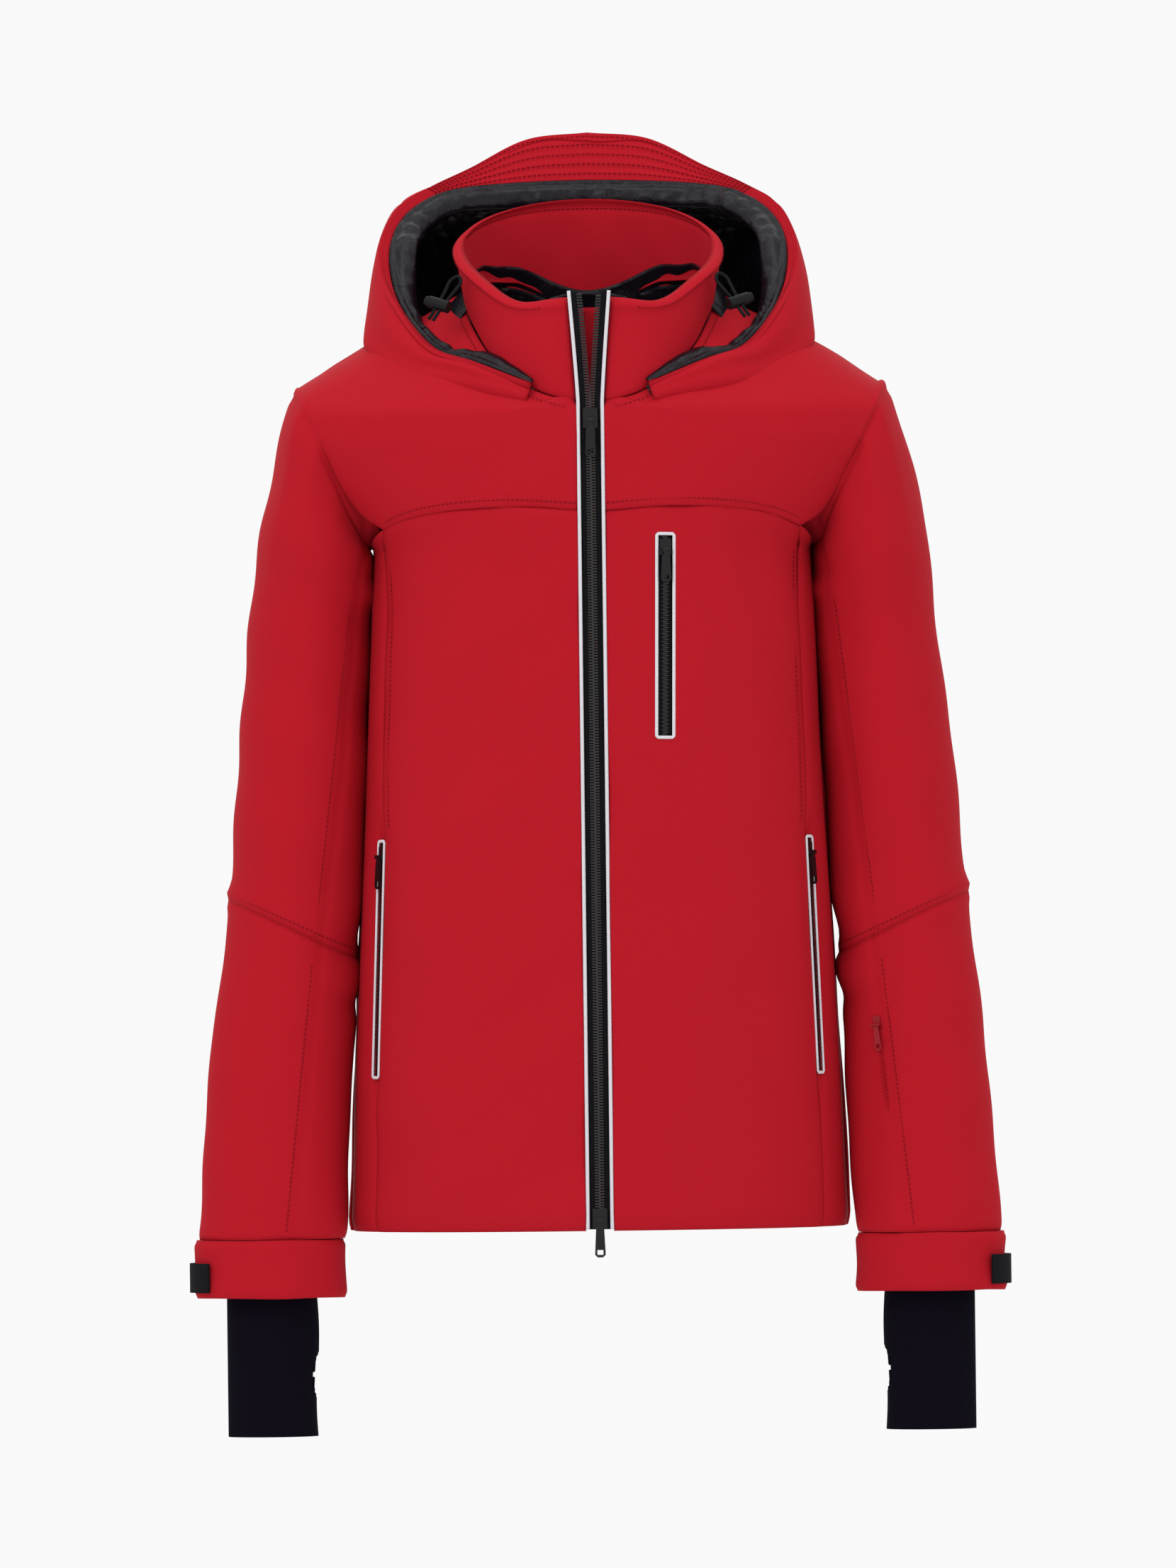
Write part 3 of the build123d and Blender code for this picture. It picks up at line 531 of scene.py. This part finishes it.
back = smooth_body(raise_front(np.concatenate([low, high[1:]]), back=True))
obj = body_piece("back", back, ("left", "right", "high"), (4.0, 4.0), 21, 0.9)
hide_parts("back_panel", "body_lining", "chest_pocket_bag", "hand_pocket_bags")

# ---- topstitching on the body ----
for hand, k in (("left", 1), ("right", -1)):
    flip = np.array([k, 1, 1])
    line = raise_front(yoke_bottom + (0, 5.5)) * flip
    n = np.tile((0, -1.0, 0.1), (len(line), 1))
    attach(stitches(f"yoke_stitch_{hand}", line + n * 0.2, n), ROOT)
    ring = np.array([(98.5 * math.cos(a), -95 + 104.5 * math.sin(a), 0) for a in turns[:48]])
    ring[:, 2] = neck_line[:48, 1] - 5
    ring[:, 1] = body_y(ring[:, 0], ring[:, 2])
    n = np.tile((0, -0.9, 0.4), (len(ring), 1))
    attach(stitches(f"neck_stitch_{hand}", ring[2:] * flip + n[2:] * 0.4, n[2:]), ROOT)
    z = np.linspace(-195, -404, 80)
    x = x_on(PRINCESS, z) - 5
    line = np.stack([x, body_y(x, z), z], 1) * flip
    n = np.tile((0.35 * k, -0.93, 0), (len(line), 1))
    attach(stitches(f"princess_stitch_{hand}", line, n), ROOT)

# ---- collar ----
COLLAR_ROWS, COLLAR_COLUMNS, COLLAR_HEIGHT = 46, 181, 90
collar = np.zeros((COLLAR_ROWS, COLLAR_COLUMNS, 3))
for i, v in enumerate(np.arange(COLLAR_ROWS) / (COLLAR_ROWS - 1)):
    hx, hy = NECK_X + 6 * v, NECK_Y - 3 * v
    start = -math.acos((ZIP_HALF + 0.4 + 5.5 * v) / hx)
    for j, w in enumerate(np.linspace(0, 1, COLLAR_COLUMNS)):
        a = start + (math.pi - 2 * start) * w
        head = 31 + hy * math.sin(a) * math.tan(math.radians(22))
        if math.sin(a) < 0:
            head -= 9 * hump(abs(hx * math.cos(a)) - 56, 26)
        seam_z = neck_z(a) + 0.5
        collar[i, j] = hx * math.cos(a), NECK_MIDDLE + hy * math.sin(a), seam_z + v * (head - seam_z)
n = outward(collar, (0, -95, 0))
up = np.linspace(0, 1, COLLAR_ROWS)[:, None] * COLLAR_HEIGHT
down = (np.linspace(0, 1, COLLAR_ROWS)[:, None] - 1) * COLLAR_HEIGHT
fold = -1.0 * hump(up, 2.5) + 1.6 * hump(down + 7, 4) - 2.4 * hump(down, 2.2)
collar = collar + n * (fold + soft_relief(collar, 31, 0.7, 60))[..., None]
obj = cloth("collar", collar, n, 5.0, RED)
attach(obj, ROOT)
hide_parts("collar_outer", "collar_inner")
edge, out = collar[COLLAR_ROWS - 5][6:-6], n[-5][6:-6]
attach(stitches("collar_stitch", edge + out * 0.3, out), ROOT)
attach(stitches("collar_stitch_inside", edge - out * 5.6, -out), ROOT)

# ---- inside the neck ----
facing = np.zeros((20, 90, 3))
for i in range(20):
    drop = i / 19
    for j, a in enumerate(np.linspace(-0.25, math.pi + 0.25, 90)):
        hx, hy = 88 + 40 * drop, 91 + 12 * drop
        facing[i, j] = hx * math.cos(a), NECK_MIDDLE + hy * math.sin(a), neck_z(a) + 13 - 49 * drop
n = outward(facing, (0, -95, -40))
obj = cloth("neck_facing", facing + n * soft_relief(facing, 41, 1.0, 40)[..., None], n, BACKING, LINING)
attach(obj, ROOT)
loop = curve([(-30, -7.6, -6), (-16, -8.4, -3.0), (0, -8.6, -1.6), (16, -8.4, -3.0), (30, -7.6, -6)], 40)
obj = tube("neck_loop", loop, 1.6, LINING, sides=12, flat=0.45, up=(0, -1, 0))
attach(obj, ROOT)
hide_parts("hanger_loop")

# ---- main zip, in the front plane ----
LEAN, OUT = (Vector(axis) for axis in zip_axes("main_top")[1:])
ZIP_BASE = Vector((0, -198, -90))  # the origin of the zip's plane, at the foot of its open top


def on_zip(x, y, w):
    """A point of the zip's plane: across, up and out from its origin."""
    p = ZIP_BASE + LEAN * y + OUT * w
    return (x, p.y, p.z)


def flare(y):
    """How far each side of the open top has parted."""
    return max(0.0, (y - 3) / 83) ** 1.15 * 6.0


def facing_front(grid):
    return np.tile((0, -1.0, 0.03), (*grid.shape[:2], 1))


ups = np.linspace(-614, 86, 420)
for hand, k in (("left", 1), ("right", -1)):
    line = np.array([on_zip(k * (9.0 + flare(y)), y, 0.0) for y in ups])
    obj = tube(f"zip_piping_{hand}", line, 1.35, PIPING, sides=12, flat=0.9)
    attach(obj, ROOT)
    if hand == "left":
        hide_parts("front_piping")
    rows = np.array([
        [on_zip(k * (x + flare(y)), y, -2.2 - 0.25 * math.sin(x)) for x in np.linspace(2.6, 9.4, 8)]
        for y in ups
    ])
    tape = cloth(f"zip_tape_{hand}", rows, facing_front(rows), 0.8, TAPE)
    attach(tape, ROOT)
    if hand == "left":
        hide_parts("main_zip_tapes")
    teeth_at = np.arange(-613, 84, 2.1) + (0.0 if hand == "left" else 1.05)
    centres = np.array([on_zip(k * (1.5 + flare(y)), y, -1.5) for y in teeth_at])
    axes = np.tile(np.array([(1, 0, 0), tuple(LEAN), tuple(OUT)]), (len(teeth_at), 1, 1))
    obj = boxes(f"zip_teeth_{hand}", centres, axes, (2.1, 0.72, 0.95), TEETH)
    bevel = obj.modifiers.new("round", "BEVEL")
    bevel.width, bevel.segments = 0.0003, 2
    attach(obj, ROOT)
    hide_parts(f"main_zip_teeth_{hand}")


def flap_point(x, y):
    """The storm flap drops further behind the zip where its top is open."""
    return on_zip(x, y, -9 - 4.6 * max(0.0, min(1.0, (y + 30) / 30)) + 0.6 * math.cos(x / 5))


flap = np.array([[flap_point(x, y) for x in np.linspace(-14, 17, 24)] for y in np.linspace(-606, 74, 200)])
obj = cloth("storm_flap_cloth", flap, facing_front(flap), 2.0, RED)
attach(obj, ROOT)
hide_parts("storm_flap")
for number, x in enumerate((-3.5, 4.5)):
    line = np.array([on_zip(x, y, -13.0) for y in np.linspace(-4, 72, 40)])
    out = np.tile((0, -1.0, 0), (40, 1))
    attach(stitches(f"flap_stitch_{number}", line, out, pitch=4.2, length=2.8, radius=0.42), ROOT)


# ---- pocket zips with their light frames ----
def rounded_frame(half, length, corner=1.2):
    """Corners of a frame from (0, 0) down, cut at 45 degrees, with points between them."""
    low = -length
    corners = [
        (-half + corner, 0), (half - corner, 0), (half, -corner), (half, low + corner),
        (half - corner, low), (-half + corner, low), (-half, low + corner), (-half, -corner),
    ]
    path = []
    for a, b in zip(corners, corners[1:] + corners[:1]):
        steps = max(2, int(math.dist(a, b) / 3))
        for s in range(steps):
            path.append((a[0] + (b[0] - a[0]) * s / steps, a[1] + (b[1] - a[1]) * s / steps))
    return path


def pocket(name, body, origin, axes, length, half, welt=0, frame_node=None, zip_node=None, red=False, coil=1.5):
    """A zip with a frame of radius welt, if any: origin is its top middle, axes are across, up and out."""
    x_dir, y_dir, z_dir = axes
    tape_mat, teeth_mat = (RED, RED) if red else (TAPE, TEETH)

    def place(x, y, z):
        return origin + x_dir * x + y_dir * y + z_dir * z

    if welt:
        path = [place(x, y, 0.1) for x, y in rounded_frame(half, length)]
        obj = tube(name + "_frame", path, welt, PIPING, closed=True, sides=10, flat=0.7, up=tuple(z_dir))
        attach(obj, body)
        if frame_node:
            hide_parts(frame_node)
    inner = half - welt * 0.5
    across, down = np.linspace(-inner, inner, 6), np.linspace(0.5, length - 0.5, 40)
    rows = np.array([[place(x, -y, -1.6) for x in across] for y in down])
    tape = cloth(name + "_tape", rows, np.tile(z_dir, (*rows.shape[:2], 1)), 0.8, tape_mat)
    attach(tape, body)
    at = np.arange(2.5, length - 2, coil)
    centres = np.array([place(0.55 * (1 if i % 2 else -1), -y, -1.0) for i, y in enumerate(at)])
    turned = np.tile(np.array(axes), (len(at), 1, 1))
    teeth = boxes(name + "_coil", centres, turned, (min(2.1, inner * 0.6), coil * 0.33, 0.6), teeth_mat)
    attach(teeth, body)
    if zip_node:
        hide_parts(zip_node)


origin, axes, _, length = CHEST_MOUTH
pocket("chest_pocket", ROOT, origin, axes, length, 6.5, 1.25, "chest_pocket_piping", "chest_pocket_zip")
origin, axes, _, length = HAND_MOUTHS["left"]
pocket("hand_pocket_left", ROOT, origin, axes, length, 4.4, 1.2, "hand_pocket_piping", "hand_pocket_zips")
origin, axes, _, length = HAND_MOUTHS["right"]
pocket("hand_pocket_right", ROOT, origin, axes, length, 4.4, 1.2)

# ---- sleeves ----
# Rows of height, inner x, outer x, y of the middle and half depth. They are the CAD's, but for inner x,
# which is up to 7 mm further in, to close the gap to the body.
SLEEVE = np.array([
    (-250, 163.5, 257, -80, 60), (-350, 170.5, 267, -84, 56), (-465, 177, 278, -90, 51),
    (-600, 185, 294, -103, 45), (-711, 191.5, 302, -118, 39),
], float)
SEAM = [(169, -186), (184, -312), (190, -365), (205, -488), (218, -607), (229, -711)]
RING = 96
A = 2 * np.pi * (np.arange(RING) + 0.5) / RING
STEPS = 20  # rows between two of the rings below
ELBOW_ROW = 5 * STEPS


def level_ring(z):
    inner, outer, y, depth = (np.interp(-z, -SLEEVE[:, 0], SLEEVE[:, c]) for c in (1, 2, 3, 4))
    x = (inner + outer) / 2 + (outer - inner) / 2 * np.cos(A)
    return np.stack([x, y + depth * np.sin(A), np.full(RING, z)], 1)


share = (1 - np.cos(A)) / 2  # 0 at the shoulder, 1 at the underarm
hole_z = SHOULDER[1] + share * (UNDERARM[1] - SHOULDER[1])
hole_x = armhole_x(hole_z)
hole_y = np.where(np.sin(A) < 0, body_y(hole_x, hole_z), body_y(hole_x, hole_z, True))
armhole = np.stack([hole_x + 0.6, hole_y, hole_z], 1)
elbow_low, elbow_high = level_ring(-500.0), level_ring(-470.0)
elbow_z = -456 + (elbow_high[:, 0] - 278) * (32 / 72)
elbow = elbow_high + (elbow_low - elbow_high) * ((elbow_z + 470) / -30)[:, None]
mids = (armhole * 0.45 + level_ring(-250) * 0.55) + np.stack([np.cos(A) * 5 + 1, np.sin(A) * 3, 0 * A], 1)
sewn = armhole.copy()
sewn[:, 2] -= 3.2 * (1 - share) ** 4
tucked = armhole + (-12.5, 0, 0)
tucked[:, 2] += 9 * share - 4.5
tucked[:, 1] = -80 + (tucked[:, 1] + 80) * 0.93
lower_rings = [level_ring(z) for z in (-560, -640, -710)]
arm = catmull([tucked, sewn, mids, level_ring(-250), level_ring(-350), elbow, *lower_rings], STEPS)


def sleeve_relief(pts, run, seed):
    """Soft relief, gathers at the underarm and the elbow, and dips along the seams."""
    past_elbow = run - run[ELBOW_ROW]
    inside = np.clip(-np.cos(A), 0, 1)[None] ** 1.5
    bulge = np.clip(np.cos(A), 0, 1)[None] ** 2
    h = soft_relief(pts, seed, 1.5, 120)
    h = h + 2.6 * inside * hump(past_elbow, 55) * np.sin(past_elbow / 9.5 + 2.2 * np.sin(A)[None])
    h = h + 2.0 * inside * hump(run - 70, 50) * np.sin(run / 11 + 3 * np.sin(A)[None])
    h = h + 3.0 * bulge * hump(past_elbow + 3, 9)
    h = h - 1.6 * hump(past_elbow, 2.4) - 1.4 * hump(run - run[STEPS], 3.0) - 1.2 * hump(run - run[-1], 3.0)
    at_seam = hump(np.abs(pts[..., 0]) - x_on(SEAM, pts[..., 2]), 2.2) * (np.sin(A)[None] < 0)
    return h - 1.1 * at_seam


def seam_stitches(name, pts, z_from, z_to, k):
    """Stitches beside the seam down the front of a sleeve."""
    path = []
    for z in np.linspace(z_from, z_to, 60):
        ring = pts[int(np.argmin(np.abs(pts[:, :, 2].mean(1) - z)))]
        from_seam = np.abs(ring[:, 0] * k - (x_on(SEAM, z) + 6.5))
        path.append(ring[int(np.argmin(from_seam + 1e3 * (np.sin(A) > 0)))])
    line = np.array(path)
    line[:, 0] = k * (x_on(SEAM, line[:, 2]) + 6.5)
    for _ in range(4):
        line[1:-1, 1] = (line[:-2, 1] + line[2:, 1]) / 2
    line = line[np.argsort(-line[:, 2])]
    line = line[np.r_[True, np.diff(line[:, 2]) < -0.5]]
    out = np.tile((-0.35 * k, -0.93, 0), (len(line), 1))
    return stitches(name, line + out * 0.3, out)


def make_sleeve(hand, k):
    pts = arm * np.array([k, 1, 1])
    n = outward(pts, (0, 0, 0), True)
    n = n * np.sign(np.sum(n * (pts - pts.mean(axis=1, keepdims=True)), axis=2, keepdims=True))
    pts = pts + n * sleeve_relief(pts, run_of(pts.mean(1))[:, None], 51 + k)[..., None]
    made = {}
    for part, node, rows, z_from, z_to in (
        ("upper_arm", "upper_sleeve", slice(0, ELBOW_ROW + 1), -200, -484),
        ("forearm", "lower_sleeve", slice(ELBOW_ROW, None), -496, -706),
    ):
        outer, out = pts[rows], n[rows]
        obj = cloth(f"{part}_cloth_{hand}", outer, out, SHELL, RED, closed=True)
        under = cloth(f"{part}_backing_{hand}", outer - out * 3.6, out, BACKING, LINING, closed=True)
        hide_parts(f"{node}_{hand}")
        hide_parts(f"{node}_lining_{hand}")
        made[part] = [obj, under, seam_stitches(f"{part}_stitch_{hand}", outer, z_from, z_to, k)]
    inner_half = slice(RING // 2 + 2, RING - 2)
    seam, above = pts[ELBOW_ROW, inner_half], pts[ELBOW_ROW - 3, inner_half]
    out = n[ELBOW_ROW, inner_half]
    line = seam + (above - seam) * 0.32
    made["upper_arm"].append(stitches(f"elbow_stitch_{hand}", line + out * 1.2, out))
    for obj in made["upper_arm"]:
        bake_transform(obj)
    for obj in made["forearm"]:
        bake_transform(obj)


CUFF_TOP, CUFF_LOW, CUFF_X = -711, -754, 247.5


def cuff_ring(k, z):
    """The cuff is drawn in at both edges and waves a little between them."""
    down = z - CUFF_TOP
    grow = 0.8 - 2.0 * hump(down, 2.4) - 1.8 * hump(z - CUFF_LOW, 2.4) + 0.9 * math.sin(down / 14)
    x = k * (CUFF_X + (56 + grow) * np.cos(A))
    y = -119 - 5 * down / (CUFF_LOW - CUFF_TOP) + (38.5 + grow) * np.sin(A)
    return np.stack([x, y, np.full(RING, z)], 1)


def make_cuff(hand, k):
    rows = np.array([cuff_ring(k, z) for z in np.linspace(CUFF_TOP + 0.5, CUFF_LOW, 26)])
    n = outward(rows, (k * CUFF_X, -121, -732), True)
    rows = rows + n * soft_relief(rows, 61 + k, 0.8, 60)[..., None]
    obj = cloth(f"cuff_cloth_{hand}", rows, n, 4.5, RED, closed=True)
    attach(obj, f"forearm_{hand}")
    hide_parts(f"cuff_{hand}")


def make_tab(hand, k):
    """The hook-and-loop tab round the outer side of the cuff."""
    turned = np.radians(np.linspace(-40, 41, 40))
    tab = np.array([
        [(k * (CUFF_X + 60.4 * math.cos(a)), -122 + 41.6 * math.sin(a), z) for a in turned]
        for z in np.linspace(-727.5, -749.5, 12)
    ])
    obj = cloth(f"cuff_tab_cloth_{hand}", tab, outward(tab, (k * 240, -121, -739)), 1.9, TAPE)
    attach(obj, f"cuff_strap_{hand}")
    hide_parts(f"cuff_tab_{hand}")


GAITER_ROWS, GAITER_RIBS = 80, 36
GAITER_X, GAITER_Y = 246.5, -121
THUMB_Z, THUMB_Y_HALF, THUMB_Z_HALF = -812, 10, 17


def make_gaiter(hand, k):
    """The knitted wrist gaiter, with its thumb hole on the inner side."""
    columns = 2 * GAITER_RIBS
    g = 2 * np.pi * np.arange(columns) / columns
    gaiter = np.zeros((GAITER_ROWS, columns, 3))
    for i, z in enumerate(np.linspace(-700, -858, GAITER_ROWS)):
        grow = 1.2 * np.sin((z + 700) / 17) * np.clip(-np.cos(g), 0, 1) - (1.5 if z > -752 else 0)
        x, y = k * (GAITER_X + (33.6 + grow) * np.cos(g)), GAITER_Y + (26 + grow * 0.5) * np.sin(g)
        gaiter[i] = np.stack([x, y, np.full(columns, z)], 1)
    n = outward(gaiter, (k * 246, -121, -780), True)
    gaiter = gaiter + n * (0.25 * np.cos(g * GAITER_RIBS)[None])[..., None]
    off_y, off_z = gaiter[..., 1] - GAITER_Y, gaiter[..., 2] - THUMB_Z
    inner = np.cos(g)[None] < -0.3
    reach = np.sqrt((off_y / THUMB_Y_HALF) ** 2 + (off_z / THUMB_Z_HALF) ** 2)
    cells = (reach[:-1, :] + np.roll(reach, -1, 1)[:-1] + reach[1:] + np.roll(reach, -1, 1)[1:]) / 4
    hole = np.zeros((GAITER_ROWS, columns), bool)
    hole[:-1] = (cells < 1.0) & inner
    near = inner & (np.abs(reach - 1) < 0.22)
    scale = np.where(near, 1.0 / np.maximum(reach, 0.3), 1.0)
    gaiter[..., 1] = GAITER_Y + off_y * scale
    gaiter[..., 2] = THUMB_Z + off_z * scale
    obj = cloth(f"gaiter_{hand}", gaiter, n, 1.8, KNIT, closed=True, hole=hole)
    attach(obj, f"forearm_{hand}")
    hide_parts(f"wrist_gaiter_{hand}")


for hand, k in (("left", 1), ("right", -1)):
    make_sleeve(hand, k)
    make_cuff(hand, k)
    make_tab(hand, k)
    make_gaiter(hand, k)
pocket(
    "forearm_pocket", "forearm_left", zip_top("sleeve", SLEEVE_SLIDER_REST), zip_axes("sleeve"),
    SLEEVE_LENGTH, 2.4, zip_node="sleeve_pocket_zip", red=True, coil=1.4,
)

# ---- hood, lying back round the collar ----
# Lines from the front end beside the collar (first) to the middle of the back (last), wearer's left.
RIM = [
    (44, -190, -72), (86, -168, -55), (113, -150, -46), (135, -122, -22), (147, -92, 6), (148, -60, 36),
    (136, -28, 59), (112, -4, 74), (84, 8, 80), (42, 14, 83), (0, 16, 84),
]
CREST = [
    (45, -193, -75), (91, -173, -56), (122, -153, -42), (144, -124, -12), (155, -92, 12), (156, -58, 38),
    (143, -26, 64), (119, 0, 80), (88, 16, 95), (46, 26, 116), (0, 28, 121),
]
FULL = [
    (47, -195, -80), (96, -176, -66), (134, -150, -56), (158, -116, -34), (165, -80, -6), (163, -42, 14),
    (152, 8, 34), (128, 56, 40), (96, 92, 38), (50, 116, 32), (0, 122, 30),
]
FOOT = [
    (50, -192, -89), (100, -168, -84), (140, -138, -74), (166, -104, -52), (169, -74, -46), (164, -30, -48),
    (150, 10, -64), (124, 46, -84), (92, 68, -98), (48, 80, -106), (0, 82, -108),
]


def full_round(points):
    """Both sides of a line that starts at the wearer's left front and ends at the middle of the back."""
    fine = catmull(points, 14)
    line = np.concatenate([fine, (fine * (-1, 1, 1))[::-1][1:]])
    line[:, 1] = np.minimum(line[:, 1], 123)
    return line


def hood_part(name, points, out, thickness, mat, slot, *nodes, **kw):
    obj = cloth(name, points, out, thickness, mat, **kw)
    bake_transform(obj)
    if nodes:
        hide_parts(*nodes)
    return obj


rim, crest, full, foot = (full_round(p) for p in (RIM, CREST, FULL, FOOT))
above_full = crest * 0.55 + full * 0.45 + (full - foot) * 0.10
below_full = full * 0.42 + foot * 0.58 + (full - rim) * 0.10
hood_rows = catmull([crest, above_full, full, below_full, foot], 16)
hn = outward(hood_rows, (0, -30, -10))
lengthwise = np.linspace(0, 1, hood_rows.shape[0])[:, None]
across = np.abs(np.linspace(-1, 1, hood_rows.shape[1])[None])
h = soft_relief(hood_rows, 71, 2.0, 80)
h += 2.4 * np.sin(lengthwise * 15 + 5 * across) * hump(across - 0.82, 0.16) * lengthwise
h -= 1.5 * hump(across - (0.36 + 0.12 * lengthwise), 0.010)
h -= 1.2 * hump(lengthwise, 0.02)
hood_points = hood_rows + hn * h[..., None]
cut = int(round(hood_points.shape[1] // 2 * (1 - 0.42)))  # columns of each side piece
for name, columns, node in (
    ("left", slice(None, cut + 1), "hood_side_left"),
    ("middle", slice(cut, -cut), "hood_centre"),
    ("right", slice(-cut - 1, None), "hood_side_right"),
):
    hood_part(f"hood_cloth_{name}", hood_points[:, columns], hn[:, columns], 2.6, RED, "softshell", node)

# brim: the band between the rim and the crest, stitched in rows
BRIM_ROWS = 14
down = np.linspace(0, 1, BRIM_ROWS)
brim = np.array([rim + (crest - rim) * s for s in down])
bn = outward(brim, (0, 200, 60))
bn = bn * np.sign(-bn[..., 1:2] + 1e-9)
ribs = (0.8 * np.cos(down[:, None] * 2 * np.pi * 5))[..., None]
hood_part("brim", brim + bn * ribs, bn, 3.0, RED, "softshell", "hood_visor")
width = len(rim)
stitched = slice(int(width * 0.34), int(width * 0.66))
for number, s in enumerate((0.16, 0.36, 0.56, 0.76, 0.93)):
    line, n = (rim + (crest - rim) * s)[stitched], bn[int(s * (BRIM_ROWS - 1))][stitched]
    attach(stitches(f"brim_stitch_{number}", line + n * 0.7, n, pitch=3.8), "hood")

# padded rim: a quilted roll that thins out towards its front ends
rim_run = run_of(rim)
inward = np.cross(np.gradient(rim, axis=0), bn[0])
inward /= np.linalg.norm(inward, axis=1, keepdims=True)
inward *= np.sign(np.sum(inward * (np.array((0, -60, 10)) - rim), axis=1, keepdims=True))
depth_dir = np.cross(np.gradient(rim, axis=0), inward)
depth_dir /= np.linalg.norm(depth_dir, axis=1, keepdims=True)
turned = 2 * np.pi * np.arange(28) / 28
puff = 1 + 0.10 * np.sin(rim_run / 4.6 + 2.0 * np.sin(rim_run / 23)) + 0.07 * np.sin(rim_run / 2.7)
taper = np.clip(0.18 + np.minimum(rim_run, rim_run[-1] - rim_run) / 55, 0, 1)[:, None, None]
dent = 1 - 0.45 * hump(turned - np.pi / 2 - 0.6, 0.22) - 0.45 * hump(turned - 3 * np.pi / 2 + 0.6, 0.22)
pad = rim[:, None] + inward[:, None] * ((9.5 + 10.5 * np.cos(turned))[None, :, None] * taper)
pad = pad + depth_dir[:, None] * (5.6 * np.sin(turned) * dent)[None, :, None] * puff[:, None, None] * taper
pn = pad - pad.mean(axis=1, keepdims=True)
pn /= np.linalg.norm(pn, axis=2, keepdims=True)
pad_obj = hood_part("padded_rim", pad, pn, 2.0, LINING, "lining", closed=True)

# wrinkled lining
behind = rim * 0.5 + full * 0.5 - hn[20] * 9
at_foot = foot * 0.75 + full * 0.25 - hn[50] * 10
inner_rows = catmull([rim + inward * 14, behind, full - hn[32] * 9, at_foot], 14)
n = outward(inner_rows, (0, -30, -10))
wrinkle = soft_relief(inner_rows, 81, 2.2, 46) + soft_relief(inner_rows, 82, 1.1, 20)
inner_rows = inner_rows + n * wrinkle[..., None]
hood_part("hood_lining_cloth", inner_rows, n, BACKING, LINING, "lining", "hood_lining")

# ---- hard trims carried over from the CAD ----
nodes = frame["nodes"]


def paint(node, mat):
    node.data.materials.clear()
    node.data.materials.append(mat)


for name in ("main_top", "main_bottom", "chest", "hand_left", "hand_right", "sleeve"):
    for part in ("_slider", "_pull"):
        node = nodes[name + part]
        paint(node, METAL_RED if name == "sleeve" else METAL)
        bevel = node.modifiers.new("round", "BEVEL")
        bevel.width, bevel.segments, bevel.limit_method = 0.00045, 3, "ANGLE"
for hand in ("left", "right"):
    paint(nodes[f"cord_lock_{hand}"], PLASTIC)
    paint(nodes[f"cord_lock_button_{hand}"], PLASTIC)
    paint(nodes[f"drawcord_{hand}"], CORD)

# ---- studio ----
mesh = bpy.data.meshes.new("floor")
mesh.from_pydata([(-4, -7, -1.6), (4, -7, -1.6), (4, 1.0, -1.6), (-4, 1.0, -1.6)], [], [(0, 1, 2, 3)])
floor = bpy.data.objects.new("floor", mesh)
bpy.context.scene.collection.objects.link(floor)
floor.data.materials.append(material("floor_paint", (0.86, 0.86, 0.86), 0.9, vary=0.01))
world = bpy.data.worlds.new("studio")
bpy.context.scene.world = world
world.use_nodes = True
world.node_tree.nodes["Background"].inputs["Color"].default_value = (1, 1, 1, 1)
world.node_tree.nodes["Background"].inputs["Strength"].default_value = 0.95


def lamp(name, place, size, power, aim=(0, -0.1, -0.35)):
    light = bpy.data.lights.new(name, "AREA")
    light.shape, light.size, light.size_y, light.energy = "RECTANGLE", size[0], size[1], power
    obj = bpy.data.objects.new(name, light)
    obj.location = place
    obj.rotation_euler = (Vector(aim) - Vector(place)).to_track_quat("-Z", "Y").to_euler()
    bpy.context.scene.collection.objects.link(obj)


lamp("key", (-1.7, -2.6, 1.5), (1.6, 1.6), 30)
lamp("fill", (2.2, -2.4, 0.5), (1.6, 2.0), 9)
lamp("top", (0, -0.6, 2.2), (1.6, 1.2), 14)
lamp("back", (0, 2.4, 1.2), (2.0, 1.4), 14)

# A long lens, framed on a plane just behind the front of the garment.
DISTANCE, PLANE_Y, HALF_HEIGHT = 15, -0.15, 0.5862
camera = bpy.data.cameras.new("camera")
camera.angle = 2 * math.atan(HALF_HEIGHT / (DISTANCE + PLANE_Y))
camera.clip_end = 100
shot = bpy.data.objects.new("camera", camera)
shot.location = (-0.005, -DISTANCE, -0.372)
shot.rotation_euler = (math.radians(90), math.radians(0.7), 0)
bpy.context.scene.collection.objects.link(shot)
bpy.context.scene.camera = shot
bpy.context.scene.view_settings.view_transform = "Standard"
